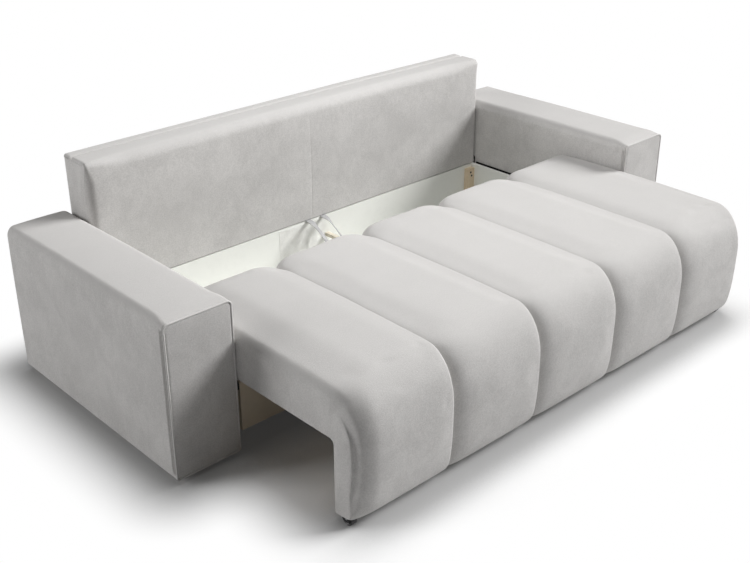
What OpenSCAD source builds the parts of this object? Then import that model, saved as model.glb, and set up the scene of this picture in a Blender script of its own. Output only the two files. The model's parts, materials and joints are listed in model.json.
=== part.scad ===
// Pull-out sofa bed: two box arms, a storage box, a rolling seat with five channels and a folding backrest.
// Millimetres, +X to the right as seen from the front, +Y to the back, +Z up.
// The origin is the middle of the overall box at floor level, with the seat pulled out and the backrest up.

/* [Arms] */
// Overall width across the two arms
overall_w = 2450; // [2100:10:2700]
// Width of each arm
arm_w = 241; // [180:1:290]
// Height of the arm tops above the floor
arm_h = 554; // [480:1:640]
// Depth of each arm from front to back
arm_d = 957; // [920:1:970]
// Gap between the arm undersides and the floor
floor_gap = 18; // [12:1:30]
// Radius of the long top edges of the arms
arm_round = 30; // [20:1:45]
// Padding over the arm frames
arm_pad = 22; // [18:1:30]
// Diameter of the piping round the arm fronts
piping_d = 8; // [6:0.5:12]
// Diameter of the plastic glides under the arms
glide_d = 40; // [25:1:60]

/* [Storage box] */
// Height of the storage box rim above the floor
rim_z = 271; // [250:1:300]
// Height of the box bottom edge above the floor
box_z = 85; // [60:1:110]
// Thickness of the white boards
board_t = 16; // [12:1:22]
// How far the front board stands behind the arm fronts
box_set = 7; // [0:1:20]
// How much lower the front board is than the rim
front_drop = 11; // [4:1:20]
// Gap on each side of the box that holds the runner
runner_gap = 12; // [12:0.5:20]
// Thickness of the hardboard bottom
bottom_t = 4; // [3:0.5:10]
// Width and height of the cleats under the bottom
cleat = 20; // [15:1:30]
// Width of the beech corner blocks
block_w = 44; // [30:1:70]
// Thickness of the beech corner blocks
block_t = 22; // [16:1:30]
// Length of the beech corner blocks
block_h = 120; // [80:1:130]

/* [Backrest] */
// Distance from the arm fronts to the backrest front
back_set = 812; // [780:1:830]
// Thickness of the backrest
back_t = 151; // [130:1:170]
// Height of the backrest top above the floor
back_top = 753; // [700:1:800]
// Clearance of the backrest over the rim
back_lift = 7; // [6.5:0.5:12]
// Padding in front of the backrest frame
back_pad = 60; // [50:1:70]
// Thickness of the timber backrest frame
back_frame_t = 42; // [30:1:50]
// Gap between each end of the backrest and the arm
end_gap = 5; // [5:0.5:10]

/* [Fold] */
// Distance of the fold axis behind the backrest front
pivot_back = 16; // [15:0.5:20]
// Distance of the fold axis above the backrest underside
pivot_up = 12.5; // [11:0.5:14]
// Diameter of the hinge pins
pin_d = 10; // [8:0.5:12]
// Radial running clearance of pins and axles
run_gap = 0.05; // [0.03:0.01:0.08]
// Thickness of the fixed hinge brackets
bracket_t = 3; // [2:0.5:3]

/* [Seat] */
// How far the seat slides between sofa and bed
travel = 440; // [380:5:450]
// Clearance of the seat underside over the rim
seat_lift = 3.5; // [3.5:0.5:8]
// Height of the channel crests above the seat underside
crest_h = 176; // [150:1:200]
// Depth of the grooves between the channels
groove = 58; // [40:1:66]
// Radius of the shoulders beside each groove
shoulder = 30; // [20:1:40]
// Depth of the rounded edge at each end of the seat
end_dip = 24; // [15:1:35]
// How much narrower the two end channels are than the others
end_less = 13; // [0:1:30]
// Number of channels across the seat
channels = 5; // [3:1:6]
// Thickness of the padded apron at its fullest
apron_t = 109; // [100:1:125]
// Gap between the apron bottom edge and the floor
apron_gap = 25; // [20:1:40]
// Gap between the closed apron and the front board
stop_gap = 8; // [4:1:12]
// Gap between the closed seat and the backrest
back_gap = 17; // [12:1:25]
// Gap between each end of the seat and the arm
side_gap = 6; // [5:0.5:10]
// Height of the timber seat frame
frame_h = 35; // [28:1:45]
// Width of the timber seat rails
rail_w = 45; // [35:1:60]
// Number of bent slats across the seat
slats = 11; // [7:1:15]

/* [Rollers] */
// Diameter of the front rollers
front_d = 44; // [40:1:48]
// Width of the front rollers
front_w = 20; // [16:1:22]
// Distance of the front rollers in front of the apron back
front_back = 44; // [36:1:46]
// Distance of the front rollers in from each end of the seat
front_in = 16; // [16:1:30]
// Diameter of the rear rollers
rear_d = 22; // [18:1:24]
// Width of the rear rollers
rear_w = 5.5; // [4.5:0.5:5.5]
// Distance of the rear rollers in front of the seat rear
rear_back = 55; // [45:1:90]
// Diameter of the front axles
front_axle_d = 8; // [6:0.5:10]
// Diameter of the rear axles
rear_axle_d = 6; // [4:0.5:8]
// Free height between a rear roller and its rail
roll_gap = 0.3; // [0.3:0.1:0.6]

/* [Strap and liner] */
// Width of the webbing
strap_w = 28; // [20:1:40]
// Thickness of the webbing
strap_t = 2; // [1.5:0.1:2.5]
// Distance between the two legs of the strap
strap_pitch = 77; // [60:1:110]
// Place of the strap pair from the middle
strap_x = 17; // [-60:1:60]
// Thickness of the liner cloth
liner_t = 1.5; // [1:0.1:2.5]
// Width of the liner cloth
liner_w = 236; // [160:1:320]

/* [Hidden] */
$fn = 48;

velour = "#cfcdcb";
shade = "#a9a7a5";
white_board = "#f1f1ee";
beech = "#d9b98c";
pine = "#e3c99a";
black_steel = "#1c1c1e";
zinc = "#9a9da1";
black_plastic = "#18181a";
webbing_grey = "#8b8d92";
lining = "#eeeeec";

// How far the part reaches behind and in front of the arm fronts
reach_back = back_set + back_t;
reach_front = travel + stop_gap + apron_t - box_set;
y_arm = (reach_front - reach_back) / 2;

// Half the clear width between the arms and the lines drawn from it
clear_half = overall_w / 2 - arm_w;
arm_x = overall_w / 2 - arm_w / 2;
box_half = clear_half - runner_gap;
back_half = clear_half - end_gap;
seat_half = clear_half - side_gap;

// Storage box
y_box = y_arm + box_set;
y_back = y_arm + back_set;
box_rear = y_back + board_t + 3;
board_y = y_back + 3;
front_rim = rim_z - front_drop;
floor_z = box_z + cleat + bottom_t;
inner_half = box_half - board_t;
inner_front = y_box + board_t;
block_drop = 15;
screw_d = 4.5;
screw_head_d = 9;
screw_head_h = 1.4;

// Rear lower frame
rear_panel_t = 12;
rear_pad_t = 16;
y_rear = y_arm + reach_back;
rear_frame_y = box_rear;
rear_frame_end = y_rear - rear_pad_t;
rear_half = clear_half - bracket_t - 1;
rear_z = floor_gap + 42;
rest_gap = 0.3;

// Seat
y_seat_rear = y_back - back_gap - travel;
y_apron = y_box - stop_gap - travel;
y_front = y_apron - apron_t;
seat_z = rim_z + seat_lift;
seat_top = seat_z + crest_h;
frame_half = seat_half - 14;
frame_rear = y_seat_rear - 12;
apron_ply = 18;
slat_t = 4;
slat_w = 55;
ply_z = 60;
fork_block_z = 63;
fork_block_h = 27;
fork_block_y = 44;
mid_half = (2 * seat_half + 2 * end_less) / channels / 2;
crown_rise = 3;
frame_top = seat_z + frame_h;

// Rollers
fx = seat_half - front_in;
fy = y_apron - front_back;
fz = front_d / 2;
fork_t = 1.5;
fork_gap = 0.5;
fork_half = front_w / 2 + fork_gap + fork_t;
fork_w = 24;
fork_tongue = 16;
rail_t = 1.5;
rail_floor = 2;
rail_web_h = 30;
rail_y0 = y_box + 3;
rail_y1 = y_back - 3;
rail_wall = 1.1;
lug_h = 10;
tab_t = 1.5;
tab_x = box_half + rail_t + 0.7;
rx = tab_x + tab_t + 0.6 + rear_w / 2;
ry = y_seat_rear - rear_back;
rz = seat_z - 27;
rail_z = rz - rear_d / 2 - roll_gap - rail_floor;

// Backrest
back_bottom = rim_z + back_lift;
back_h = back_top - back_bottom;
py = y_back + pivot_back;
pz = back_bottom + pivot_up;
back_edge = 14;
bf_half = back_half - 18;
bf_bottom = back_bottom + 14;
bf_top = back_top - 14;
bf_y = y_back + back_pad;
bar_w = 60;
belt_t = 2;
belt_w = 50;
belts = 9;
split_y = bf_y + back_frame_t;
plate_t = 4;
plate_y0 = py - 11;
plate_y1 = bf_y + back_frame_t - 4;
plate_z1 = bf_bottom + 80;

// Arm joints: places of the bolts along Y and Z
bolt_d = 8;
bolt_fit = 0.2;
bolt_y = [y_box + 110, y_box + 400, y_box + 575, y_box + 750];
bolt_z = (box_z + rim_z) / 2 - 10;
spacer_w = 60;
bolt_grip = board_t + runner_gap + arm_pad + 16;

// Strap route in the Y-Z plane, counted from the backrest front and the rim, from the back to the box floor
strap_route = [
  [46, 1.1], [20, 1.1], [4, 1.1], [-12, -0.6], [-30, -5], [-54, -16], [-84, -34], [-114, -56],
  [-142, -80], [-164, -104], [-180, -126], [-194, -144], [-216, -155], [-246, -157], [-290, -157]
];

function lerp(a, b, t) = a + (b - a) * t;
function clamp01(t) = max(0, min(1, t));

// Point on a quarter of a superellipse, t from 0 at the top to 1 at the side
function arc_side(t, n) = pow(sin(90 * t), 2 / n);
function arc_top(t, n) = pow(cos(90 * t), 2 / n);

// A box between two corners
module block(lo, hi) {
  translate(lo)
    cube([hi[0] - lo[0], hi[1] - lo[1], hi[2] - lo[2]]);
}

// Children drawn in X-Z and carried along Y from y0 for a length
module along_y(y0, len) {
  translate([0, y0 + len, 0])
    rotate([90, 0, 0])
      linear_extrude(len)
        children();
}

// Children drawn in Y-Z and carried along X from x0 for a length
module along_x(x0, len) {
  translate([x0, 0, 0])
    rotate([90, 0, 90])
      linear_extrude(len)
        children();
}

// A cylinder along X from x0 to x1
module rod_x(x0, x1, d) {
  translate([min(x0, x1), 0, 0])
    rotate([0, 90, 0])
      cylinder(d = d, h = abs(x1 - x0));
}

// Closed surface through rings of equal count, with fan caps from one ring point
module loft(rings, hub) {
  m = len(rings);
  n = len(rings[0]);
  points = [for (r = rings) for (p = r) p];
  sides = [
    for (i = [0 : m - 2]) for (j = [0 : n - 1])
      let (a = i * n + j, b = i * n + (j + 1) % n)
        each [[a, b, b + n], [a, b + n, a + n]]
  ];
  first = [for (k = [1 : n - 2]) [hub, (hub + k + 1) % n, (hub + k) % n]];
  last = [for (k = [1 : n - 2]) [(m - 1) * n + hub, (m - 1) * n + (hub + k) % n, (m - 1) * n + (hub + k + 1) % n]];
  polyhedron(points, concat(sides, first, last));
}

// Front view of an arm with rounded corners, drawn smaller by inset
module arm_outline(inset) {
  w = arm_w - 2 * inset;
  h = arm_h - floor_gap - 2 * inset;
  rt = arm_round - inset;
  rb = 12 - inset;
  translate([0, floor_gap + inset]) {
    translate([-w / 2, rb])
      square([w, h - rb - rt]);
    translate([-w / 2 + rb, 0])
      square([w - 2 * rb, h / 2]);
    translate([-w / 2 + rt, h / 2])
      square([w - 2 * rt, h / 2]);
    for (s = [-1, 1]) {
      translate([s * (w / 2 - rb), rb])
        circle(rb);
      translate([s * (w / 2 - rt), h - rt])
        circle(rt);
    }
  }
}

// Outer box of an arm frame, also the pocket in its cover
module arm_core() {
  w = arm_w / 2 - arm_pad;
  block([-w, y_arm + arm_pad, floor_gap], [w, y_arm + arm_d - arm_pad, arm_h - arm_pad]);
}

// Holes for the bolts that join an arm to the box, for one side
module bolt_holes(side) {
  for (y = bolt_y)
    translate([0, y, bolt_z])
      rod_x(side * (inner_half - 1), side * (clear_half + arm_pad + 17), bolt_d + 2 * bolt_fit);
}

module arm_frame(side) {
  panel = 16;
  w = arm_w / 2 - arm_pad - panel;
  y0 = y_arm + arm_pad + panel;
  y1 = y_arm + arm_d - arm_pad - panel;
  bays = 3;
  pitch = (y1 - y0 + panel) / bays;
  color(pine)
    difference() {
      translate([side * arm_x, 0, 0])
        difference() {
          arm_core();
          for (i = [0 : bays - 1])
            block([-w, y0 + i * pitch, floor_gap + panel],
                  [w, y0 + (i + 1) * pitch - panel, arm_h - arm_pad - panel]);
          for (i = [0 : bays - 1])
            block([-w + 35, y0 + i * pitch + 60, floor_gap - 1],
                  [w - 35, y0 + (i + 1) * pitch - panel - 60, floor_gap + panel + 1]);
        }
      bolt_holes(side);
    }
}

module arm_cover(side) {
  color(velour)
    difference() {
      translate([side * arm_x, 0, 0])
        difference() {
          union() {
            along_y(y_arm, piping_d)
              arm_outline(piping_d);
            along_y(y_arm + piping_d, arm_d - piping_d)
              arm_outline(0);
          }
          translate([0, 0, -1])
            arm_core();
          arm_core();
        }
      bolt_holes(side);
    }
}

// A quarter turn of piping in X-Z, from angle a
module piping_corner(x, z, r, a) {
  translate([x, y_arm + piping_d / 2, z])
    rotate([90, 0, 0])
      rotate([0, 0, a])
        rotate_extrude(angle = 90)
          translate([r, 0])
            circle(d = piping_d);
}

module arm_piping(side) {
  r = piping_d / 2;
  x = arm_w / 2 - r;
  z0 = floor_gap + r;
  z1 = arm_h - r;
  rt = arm_round - r;
  rb = 12 - r;
  color(velour)
    translate([side * arm_x, 0, 0])
      union() {
        for (s = [-1, 1])
          translate([s * x, y_arm + r, z0 + rb])
            cylinder(d = piping_d, h = z1 - rt - z0 - rb);
        translate([0, y_arm + r, z1])
          rod_x(-x + rt, x - rt, piping_d);
        translate([0, y_arm + r, z0])
          rod_x(-x + rb, x - rb, piping_d);
        piping_corner(x - rt, z1 - rt, rt, 0);
        piping_corner(-x + rt, z1 - rt, rt, 90);
        piping_corner(-x + rb, z0 + rb, rb, 180);
        piping_corner(x - rb, z0 + rb, rb, 270);
      }
}

// Plastic glides, four under each arm
module arm_glides() {
  color(black_plastic)
    for (s = [-1, 1], dx = [-60, 60], y = [y_arm + 70, y_arm + arm_d - 70])
      translate([s * arm_x + dx, y, 0])
        union() {
          cylinder(d1 = glide_d - 6, d2 = glide_d, h = 4, $fn = 64);
          translate([0, 0, 4])
            cylinder(d = glide_d, h = floor_gap - 4, $fn = 64);
        }
}

// Timber spacers between the box sides and the arms, each round a bolt
module arm_spacers() {
  color(pine)
    for (s = [-1, 1], y = bolt_y)
      difference() {
        block([min(s * box_half, s * clear_half), y - spacer_w / 2, bolt_z - spacer_w / 2],
              [max(s * box_half, s * clear_half), y + spacer_w / 2, bolt_z + spacer_w / 2]);
        bolt_holes(s);
      }
}

// Dome-headed bolts through box side, spacer, cover and arm frame
module arm_bolts() {
  color(zinc)
    for (s = [-1, 1], y = bolt_y)
      translate([0, y, bolt_z])
        union() {
          rod_x(s * inner_half, s * (inner_half + bolt_grip + 10), bolt_d);
          rod_x(s * (inner_half - 3.5), s * inner_half, 20);
        }
}

module arm_nuts() {
  color(zinc)
    for (s = [-1, 1], y = bolt_y)
      translate([0, y, bolt_z])
        difference() {
          rotate([0, 90, 0])
            translate([0, 0, s > 0 ? inner_half + bolt_grip : -inner_half - bolt_grip - 6.5])
              cylinder(d = 15, h = 6.5, $fn = 6);
          rod_x(s * (inner_half + bolt_grip - 1), s * (inner_half + bolt_grip + 8), bolt_d);
        }
}

module box_front_board() {
  color(white_board)
    block([-box_half, y_box, box_z], [box_half, y_box + board_t, front_rim]);
}

module box_rear_board() {
  color(white_board)
    block([-inner_half, board_y, box_z], [inner_half, board_y + board_t, rim_z]);
}

module box_side_board(side) {
  color(white_board)
    difference() {
      block([min(side * box_half, side * inner_half), inner_front, box_z],
            [max(side * box_half, side * inner_half), box_rear, rim_z]);
      bolt_holes(side);
    }
}

// Timber cleats round the inside of the box, two crosswise battens and one lengthwise
module box_cleats() {
  color(pine)
    union() {
      for (y = [inner_front, board_y - cleat, (inner_front + board_y - cleat) / 2])
        block([-inner_half, y, box_z], [inner_half, y + cleat, box_z + cleat]);
      for (x = [-inner_half, inner_half - cleat, -inner_half / 3 - cleat / 2, inner_half / 3 - cleat / 2])
        block([x, inner_front, box_z], [x + cleat, board_y, box_z + cleat]);
    }
}

module box_bottom_panel() {
  color(white_board)
    block([-inner_half, inner_front, box_z + cleat], [inner_half, board_y, floor_z]);
}

// Corners of the box where the beech blocks stand: [side, wall y, direction out of the wall]
function corner_list() = [
  for (s = [-1, 1]) each [[s, board_y, -1], [s, inner_front, 1]]
];

// Places of the two screws on a block, from its top
screw_rows = [17, 34];

module box_corner_blocks() {
  color(beech)
    for (c = corner_list())
      let (top = (c[2] < 0 ? rim_z : front_rim) - block_drop, x0 = min(c[0] * inner_half, c[0] * (inner_half - block_w)))
        difference() {
          block([x0, min(c[1], c[1] + c[2] * block_t), top - block_h],
                [x0 + block_w, max(c[1], c[1] + c[2] * block_t), top]);
          for (i = [0, 1])
            translate([x0 + block_w * (0.42 + 0.16 * i), c[1] + (c[2] > 0 ? -1 : 1 - block_t - 2), top - screw_rows[i]])
              rotate([-90, 0, 0])
                cylinder(d = screw_d, h = block_t + 2);
        }
}

module box_screws() {
  color(black_steel)
    for (c = corner_list(), i = [0, 1])
      let (top = (c[2] < 0 ? rim_z : front_rim) - block_drop,
           x0 = min(c[0] * inner_half, c[0] * (inner_half - block_w)) + block_w * (0.42 + 0.16 * i),
           face = c[1] + c[2] * block_t)
        translate([x0, 0, top - screw_rows[i]])
          rotate([-90, 0, 0])
            union() {
              translate([0, 0, min(c[1], face)])
                cylinder(d = screw_d, h = block_t);
              translate([0, 0, min(face, face + c[2] * screw_head_h)])
                cylinder(d = screw_head_d, h = screw_head_h);
            }
}

// Legs under the middle of the box
module box_legs() {
  color(black_plastic)
    for (s = [-1, 1])
      translate([s * inner_half / 3, (inner_front + board_y) / 2, 0])
        union() {
          cylinder(d1 = 40, d2 = 46, h = 6);
          translate([0, 0, 6])
            cylinder(d = 46, h = box_z - 12);
          translate([0, 0, box_z - 6])
            cylinder(d = 76, h = 6);
        }
}

// Folded steel channel between box and arm, with a stop lug at each end
module runner_rail(side) {
  color(black_steel)
    mirror([side > 0 ? 0 : 1, 0, 0])
      union() {
        block([box_half, rail_y0, rail_z], [box_half + rail_t, rail_y1, rail_z + rail_web_h]);
        block([box_half, rail_y0, rail_z], [clear_half, rail_y1, rail_z + rail_floor]);
        block([clear_half - rail_wall, rail_y0, rail_z], [clear_half, rail_y1, rim_z + 4]);
        for (y = [ry - rear_d / 2 - 4, ry + travel + rear_d / 2 + 3])
          block([tab_x + tab_t + 0.6, y, rail_z + rail_floor], [clear_half, y + 3, rail_z + rail_floor + lug_h]);
      }
}

// Lower rear frame: top board, bottom rail, posts and a plywood back
module rear_frame() {
  posts = 4;
  color(pine)
    union() {
      block([-rear_half, rear_frame_y, rim_z - 18], [rear_half, rear_frame_end, rim_z]);
      block([-rear_half, rear_frame_y, rear_z], [rear_half, rear_frame_end, rear_z + 40]);
      block([-rear_half, rear_frame_end - rear_panel_t, rear_z + 40], [rear_half, rear_frame_end, rim_z - 18]);
      for (i = [0 : posts - 1])
        let (x = -rear_half + i * (2 * rear_half - 40) / (posts - 1))
          block([x, rear_frame_y, rear_z + 40], [x + 40, rear_frame_end - rear_panel_t, rim_z - 18]);
    }
}

// Upholstered panel over the lower rear frame, rounded along its ends
module rear_cover() {
  r = 8;
  color(shade)
    difference() {
      along_y(rear_frame_end, rear_pad_t)
        translate([-rear_half, floor_gap])
          square([2 * rear_half, rim_z - floor_gap]);
      for (z = [floor_gap, rim_z])
        translate([0, y_rear, z])
          difference() {
            block([-rear_half - 1, -r, -r], [rear_half + 1, 1, r]);
            translate([0, -r, z == rim_z ? -r : r])
              rod_x(-rear_half - 2, rear_half + 2, 2 * r);
            block([-rear_half - 2, -r - 1, z == rim_z ? -r - 1 : r], [rear_half + 2, 2, z == rim_z ? -r : r + 1]);
          }
    }
}

// Rubber buffers that carry the raised backrest
module rest_pads() {
  color(black_plastic)
    for (x = [-0.82, -0.3, 0.3, 0.82])
      translate([x * back_half, y_back + 95, rim_z])
        cylinder(d = 30, h = back_lift - rest_gap);
}

// Fixed hinge bracket on the inner face of an arm
module hinge_bracket(side) {
  x0 = side > 0 ? clear_half - bracket_t : -clear_half;
  color(black_steel)
    difference() {
      union() {
        along_x(x0, bracket_t)
          union() {
            translate([py - 11, rim_z - 110])
              square([28, pz - rim_z + 110]);
            translate([py, pz])
              circle(11);
            translate([py, pz - 11])
              square([17, 11]);
          }
        for (z = [rim_z - 30, rim_z - 90])
          translate([0, py - 4, z])
            rod_x(side * (clear_half - bracket_t), side * (clear_half - bracket_t - 2), 12);
      }
      translate([0, py, pz])
        rod_x(side * (clear_half + 1), side * (clear_half - bracket_t - 1), pin_d);
    }
}

// Fixed hinge pins, each riveted into its bracket
module hinge_pins() {
  color(zinc)
    for (s = [-1, 1])
      translate([0, py, pz])
        rod_x(s * clear_half, s * (bf_half - 6), pin_d);
}

// Beech batten on the rear board, beside the straps
module strap_block() {
  color(beech)
    block([strap_x + 51, board_y - 86, floor_z + 68], [strap_x + 69, board_y, floor_z + 82]);
}

// Point i of the strap route
function strap_point(i) = [y_back + strap_route[i][0], rim_z + strap_route[i][1]];

// Unit normal of the strap route at point i
function strap_normal(i) =
  let (a = strap_point(max(0, i - 1)), b = strap_point(min(len(strap_route) - 1, i + 1)), d = b - a, l = norm(d))
    [-d[1] / l, d[0] / l];

// One loop of flat webbing: two legs over the rim and a crosspiece on the box floor
module strap_loop() {
  n = len(strap_route);
  half = strap_t / 2;
  upper = [for (i = [0 : n - 1]) strap_point(i) + strap_normal(i) * half];
  lower = [for (i = [n - 1 : -1 : 0]) strap_point(i) - strap_normal(i) * half];
  end = strap_point(n - 1);
  color(webbing_grey)
    union() {
      for (s = [-1, 1])
        along_x(strap_x + s * strap_pitch / 2 - strap_w / 2, strap_w)
          polygon(concat(upper, lower));
      block([strap_x - strap_pitch / 2 - strap_w / 2, end[0] - strap_w, end[1] - half],
            [strap_x + strap_pitch / 2 + strap_w / 2, end[0] + 0.5, end[1] + half]);
    }
}

// Depth of the liner folds in front of the rear board, u across from 0 to 1, v down from 0 to 1
function liner_depth(u, v) =
  let (
    lean = 0.30 * v,
    a = 1 - clamp01(abs(u - 0.58 + lean) / 0.10),
    b = 1 - clamp01(abs(u - 0.62) / 0.07),
    c = 1 - clamp01(abs(u - 0.90 + lean * 0.6) / 0.09)
  )
    3 + v * (16 + 26 * a + 14 * b + 24 * c);

// White cloth hung from the rear rim, with its main folds
module box_liner() {
  nu = 16;
  nv = 6;
  x0 = strap_x + 46 - liner_w;
  z1 = rim_z - 4;
  z0 = floor_z + 2;
  front = [
    for (j = [0 : nv]) for (i = [0 : nu])
      let (u = i / nu, v = j / nv, e = (i == 0 || i == nu) ? 0.15 : 1)
        [x0 + u * liner_w, board_y - 0.3 - liner_t - liner_depth(u, v) * e, lerp(z1, z0, v)]
  ];
  back = [for (p = front) [p[0], p[1] + liner_t, p[2]]];
  n = (nu + 1) * (nv + 1);
  faces = [
    for (j = [0 : nv - 1]) for (i = [0 : nu - 1])
      let (a = j * (nu + 1) + i, b = a + 1, c = a + nu + 1, d = c + 1)
        each [[a, b, d], [a, d, c], [a + n, d + n, b + n], [a + n, c + n, d + n]]
  ];
  ends = [
    for (i = [0 : nu - 1])
      let (a = i, b = nv * (nu + 1) + i)
        each [[a, a + n, a + n + 1], [a, a + n + 1, a + 1], [b, b + 1, b + n + 1], [b, b + n + 1, b + n]]
  ];
  sides = [
    for (j = [0 : nv - 1])
      let (a = j * (nu + 1), c = a + nu + 1, b = a + nu, d = c + nu)
        each [[a, c, c + n], [a, c + n, a + n], [b, b + n, d + n], [b, d + n, d]]
  ];
  color(lining)
    polyhedron(concat(front, back), concat(faces, ends, sides));
}

// Timber seat frame with three crosswise bars
module seat_frame() {
  color(pine)
    union() {
      for (y = [y_apron, frame_rear - rail_w])
        block([-frame_half, y, seat_z], [frame_half, y + rail_w, frame_top]);
      for (x = [-frame_half, -rail_w / 2, frame_half - rail_w])
        block([x, y_apron, seat_z], [x + rail_w, frame_rear, frame_top]);
    }
}

// Bent slats from the front rail to the rear rail
module seat_slats() {
  pitch = (2 * frame_half - rail_w - slat_w) / (slats - 1);
  color(beech)
    for (i = [0 : slats - 1])
      translate([-frame_half + rail_w / 2 + i * pitch, 0, frame_top])
        block([0, y_apron + 6, 0], [slat_w, frame_rear - 6, slat_t]);
}

// Plywood apron with a block at each end that carries a front fork
module apron_board() {
  color(pine)
    union() {
      block([-frame_half, y_apron - apron_ply, ply_z], [frame_half, y_apron, frame_top]);
      fork_blocks(0);
    }
}

// The two fork blocks, or with over above 0 the room for them in the padding
module fork_blocks(over) {
  for (s = [-1, 1])
    block([s * (frame_half - 21) - 21, y_apron - apron_ply - fork_block_y, fork_block_z],
          [s * (frame_half - 21) + 21, y_apron - apron_ply + over, fork_block_z + fork_block_h]);
}

// Side view of the padding where it lies lower than a crest by dip
function seat_ring(dip) =
  let (
    top = seat_top - dip,
    front = y_front + dip,
    rear = y_seat_rear - dip * 0.35,
    belly = seat_z - 2,
    nose = 122 - dip * 0.5,
    round_rear = 58,
    hem = y_apron - 60
  )
    concat(
      [[y_seat_rear - 6, seat_z], [lerp(y_seat_rear, rear, 0.6), seat_z + 34]],
      [for (t = [0.06, 0.3, 0.55, 0.8, 1])
        [rear - round_rear * (1 - arc_top(t, 2.2)), top - 66 + 66 * arc_side(t, 2.2) - 4]],
      [for (t = [0.25, 0.5, 0.75])
        [lerp(rear - round_rear, front + nose, t), top - 4 * pow(2 * t - 1, 2)]],
      [for (t = [0, 0.18, 0.36, 0.52, 0.68, 0.84])
        [front + nose * (1 - arc_side(t, 2.1)), belly + (top - 4 - belly) * arc_top(t, 2.1)]],
      [for (t = [0, 0.3, 0.5, 0.68, 0.82, 0.93])
        [lerp(front, hem, 1 - pow(1 - pow(t, 3), 1 / 3)), lerp(belly, apron_gap, t)]],
      [[hem, apron_gap], [y_apron, apron_gap], [y_apron, seat_z]]
    );

// How far the surface dips at a distance d from a groove, round the shoulder and over a slight crown
function shoulder_dip(d) =
  (d < shoulder ? shoulder - sqrt(shoulder * shoulder - pow(shoulder - d, 2)) : 0)
    + crown_rise * pow(1 - min(1, d / mid_half), 2);

// Distances from the left and right groove of a channel where its crown is drawn
left_steps = [3, 11, 26];
right_steps = [48, 19, 8, 2.5];

// Five waterfall channels with deep grooves between them
module seat_form() {
  grooves = [for (i = [1 : channels - 1]) (i - channels / 2) * 2 * mid_half];
  lines = concat([-seat_half], grooves, [seat_half]);
  marks = [
    for (c = [0 : channels - 1])
      let (l = lines[c], r = lines[c + 1])
        each concat(
          [[l, c == 0 ? end_dip : groove]],
          [for (d = left_steps) [l + d, shoulder_dip(d) * (c == 0 ? end_dip / shoulder : 1)]],
          [[(l + r) / 2, 0]],
          [for (d = right_steps) [r - d, shoulder_dip(d) * (c == channels - 1 ? end_dip / shoulder : 1)]]
        )
  ];
  rings = [for (m = concat(marks, [[seat_half, end_dip]])) [for (p = seat_ring(m[1])) [m[0], p[0], p[1]]]];
  loft(rings, len(rings[0]) - 1);
}

module seat_cushion() {
  roller_half = fork_half + 1.2;
  color(velour)
    difference() {
      seat_form();
      block([-frame_half, y_apron - apron_ply, ply_z], [frame_half, y_apron + 1, frame_top]);
      block([-frame_half, y_apron - 1, seat_z - 1], [frame_half, frame_rear, frame_top + slat_t]);
      fork_blocks(1);
      for (s = [-1, 1])
        block([s * fx - roller_half, fy - front_d / 2 - 2, apron_gap - 2],
              [s * fx + roller_half, y_apron + 2, fork_block_z]);
      for (s = [-1, 1])
        block([s * fx - (s > 0 ? fork_half + fork_tongue : 0), fy - fork_w / 2, fork_block_z - fork_t],
              [s * fx + (s > 0 ? 0 : fork_half + fork_tongue), fy + fork_w / 2, fork_block_z + 0.5]);
    }
}

// Dust cloth stapled under the seat frame
module seat_underlining() {
  color("#2a2a2c")
    block([-frame_half + 45, y_apron + 10, seat_z - 1], [frame_half - 45, frame_rear - 6, seat_z]);
}

// U-shaped forks under the apron batten
module front_forks() {
  inner = front_w / 2 + fork_gap;
  color(black_steel)
    for (s = [-1, 1])
      translate([s * fx, fy, 0])
        difference() {
          union() {
            block([min(-fork_half, -s * fork_tongue - fork_half), -fork_w / 2, fork_block_z - fork_t],
                  [max(fork_half, fork_half - s * fork_tongue), fork_w / 2, fork_block_z]);
            for (x = [-inner - fork_t, inner])
              along_x(x, fork_t)
                union() {
                  translate([-fork_w / 2, fz])
                    square([fork_w, fork_block_z - fz - fork_t]);
                  translate([0, fz])
                    circle(d = fork_w);
                }
          }
          translate([0, 0, fz])
            rod_x(-inner - fork_t - 1, inner + fork_t + 1, front_axle_d);
        }
}

module front_axles() {
  half = fork_half + 0.6;
  color(zinc)
    for (s = [-1, 1])
      translate([s * fx, fy, fz])
        rod_x(-half, half, front_axle_d);
}

// Rear brackets: a flange under the frame and a tab down to the rail
module rear_roller_brackets() {
  color(black_steel)
    for (s = [-1, 1])
      mirror([s > 0 ? 0 : 1, 0, 0])
        difference() {
          union() {
            block([frame_half - 36, ry - 20, seat_z - tab_t], [tab_x + tab_t, ry + 20, seat_z]);
            along_x(tab_x, tab_t)
              union() {
                translate([ry - 9, rz])
                  square([18, seat_z - rz]);
                translate([ry, rz])
                  circle(9);
              }
          }
          translate([0, ry, rz])
            rod_x(tab_x - 1, tab_x + tab_t + 1, rear_axle_d);
        }
}

module rear_axles() {
  color(zinc)
    for (s = [-1, 1])
      translate([0, ry, rz])
        rod_x(s * tab_x, s * (rx + rear_w / 2 + 0.7), rear_axle_d);
}

// A plastic roller with a bore, a dished face and a rounded tread
module roller(d, w, bore, dish) {
  rotate([0, 90, 0])
    rotate_extrude($fn = 96)
      polygon([
        [bore / 2, -w / 2], [bore / 2 + 3, -w / 2], [bore / 2 + 3 + dish, -w / 2 + dish],
        [d / 2 - 3 - dish, -w / 2 + dish], [d / 2 - 3, -w / 2], [d / 2 - 1, -w / 2], [d / 2, -w / 2 + 1],
        [d / 2, w / 2 - 1], [d / 2 - 1, w / 2], [d / 2 - 3, w / 2], [d / 2 - 3 - dish, w / 2 - dish],
        [bore / 2 + 3 + dish, w / 2 - dish], [bore / 2 + 3, w / 2], [bore / 2, w / 2]
      ]);
}

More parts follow.
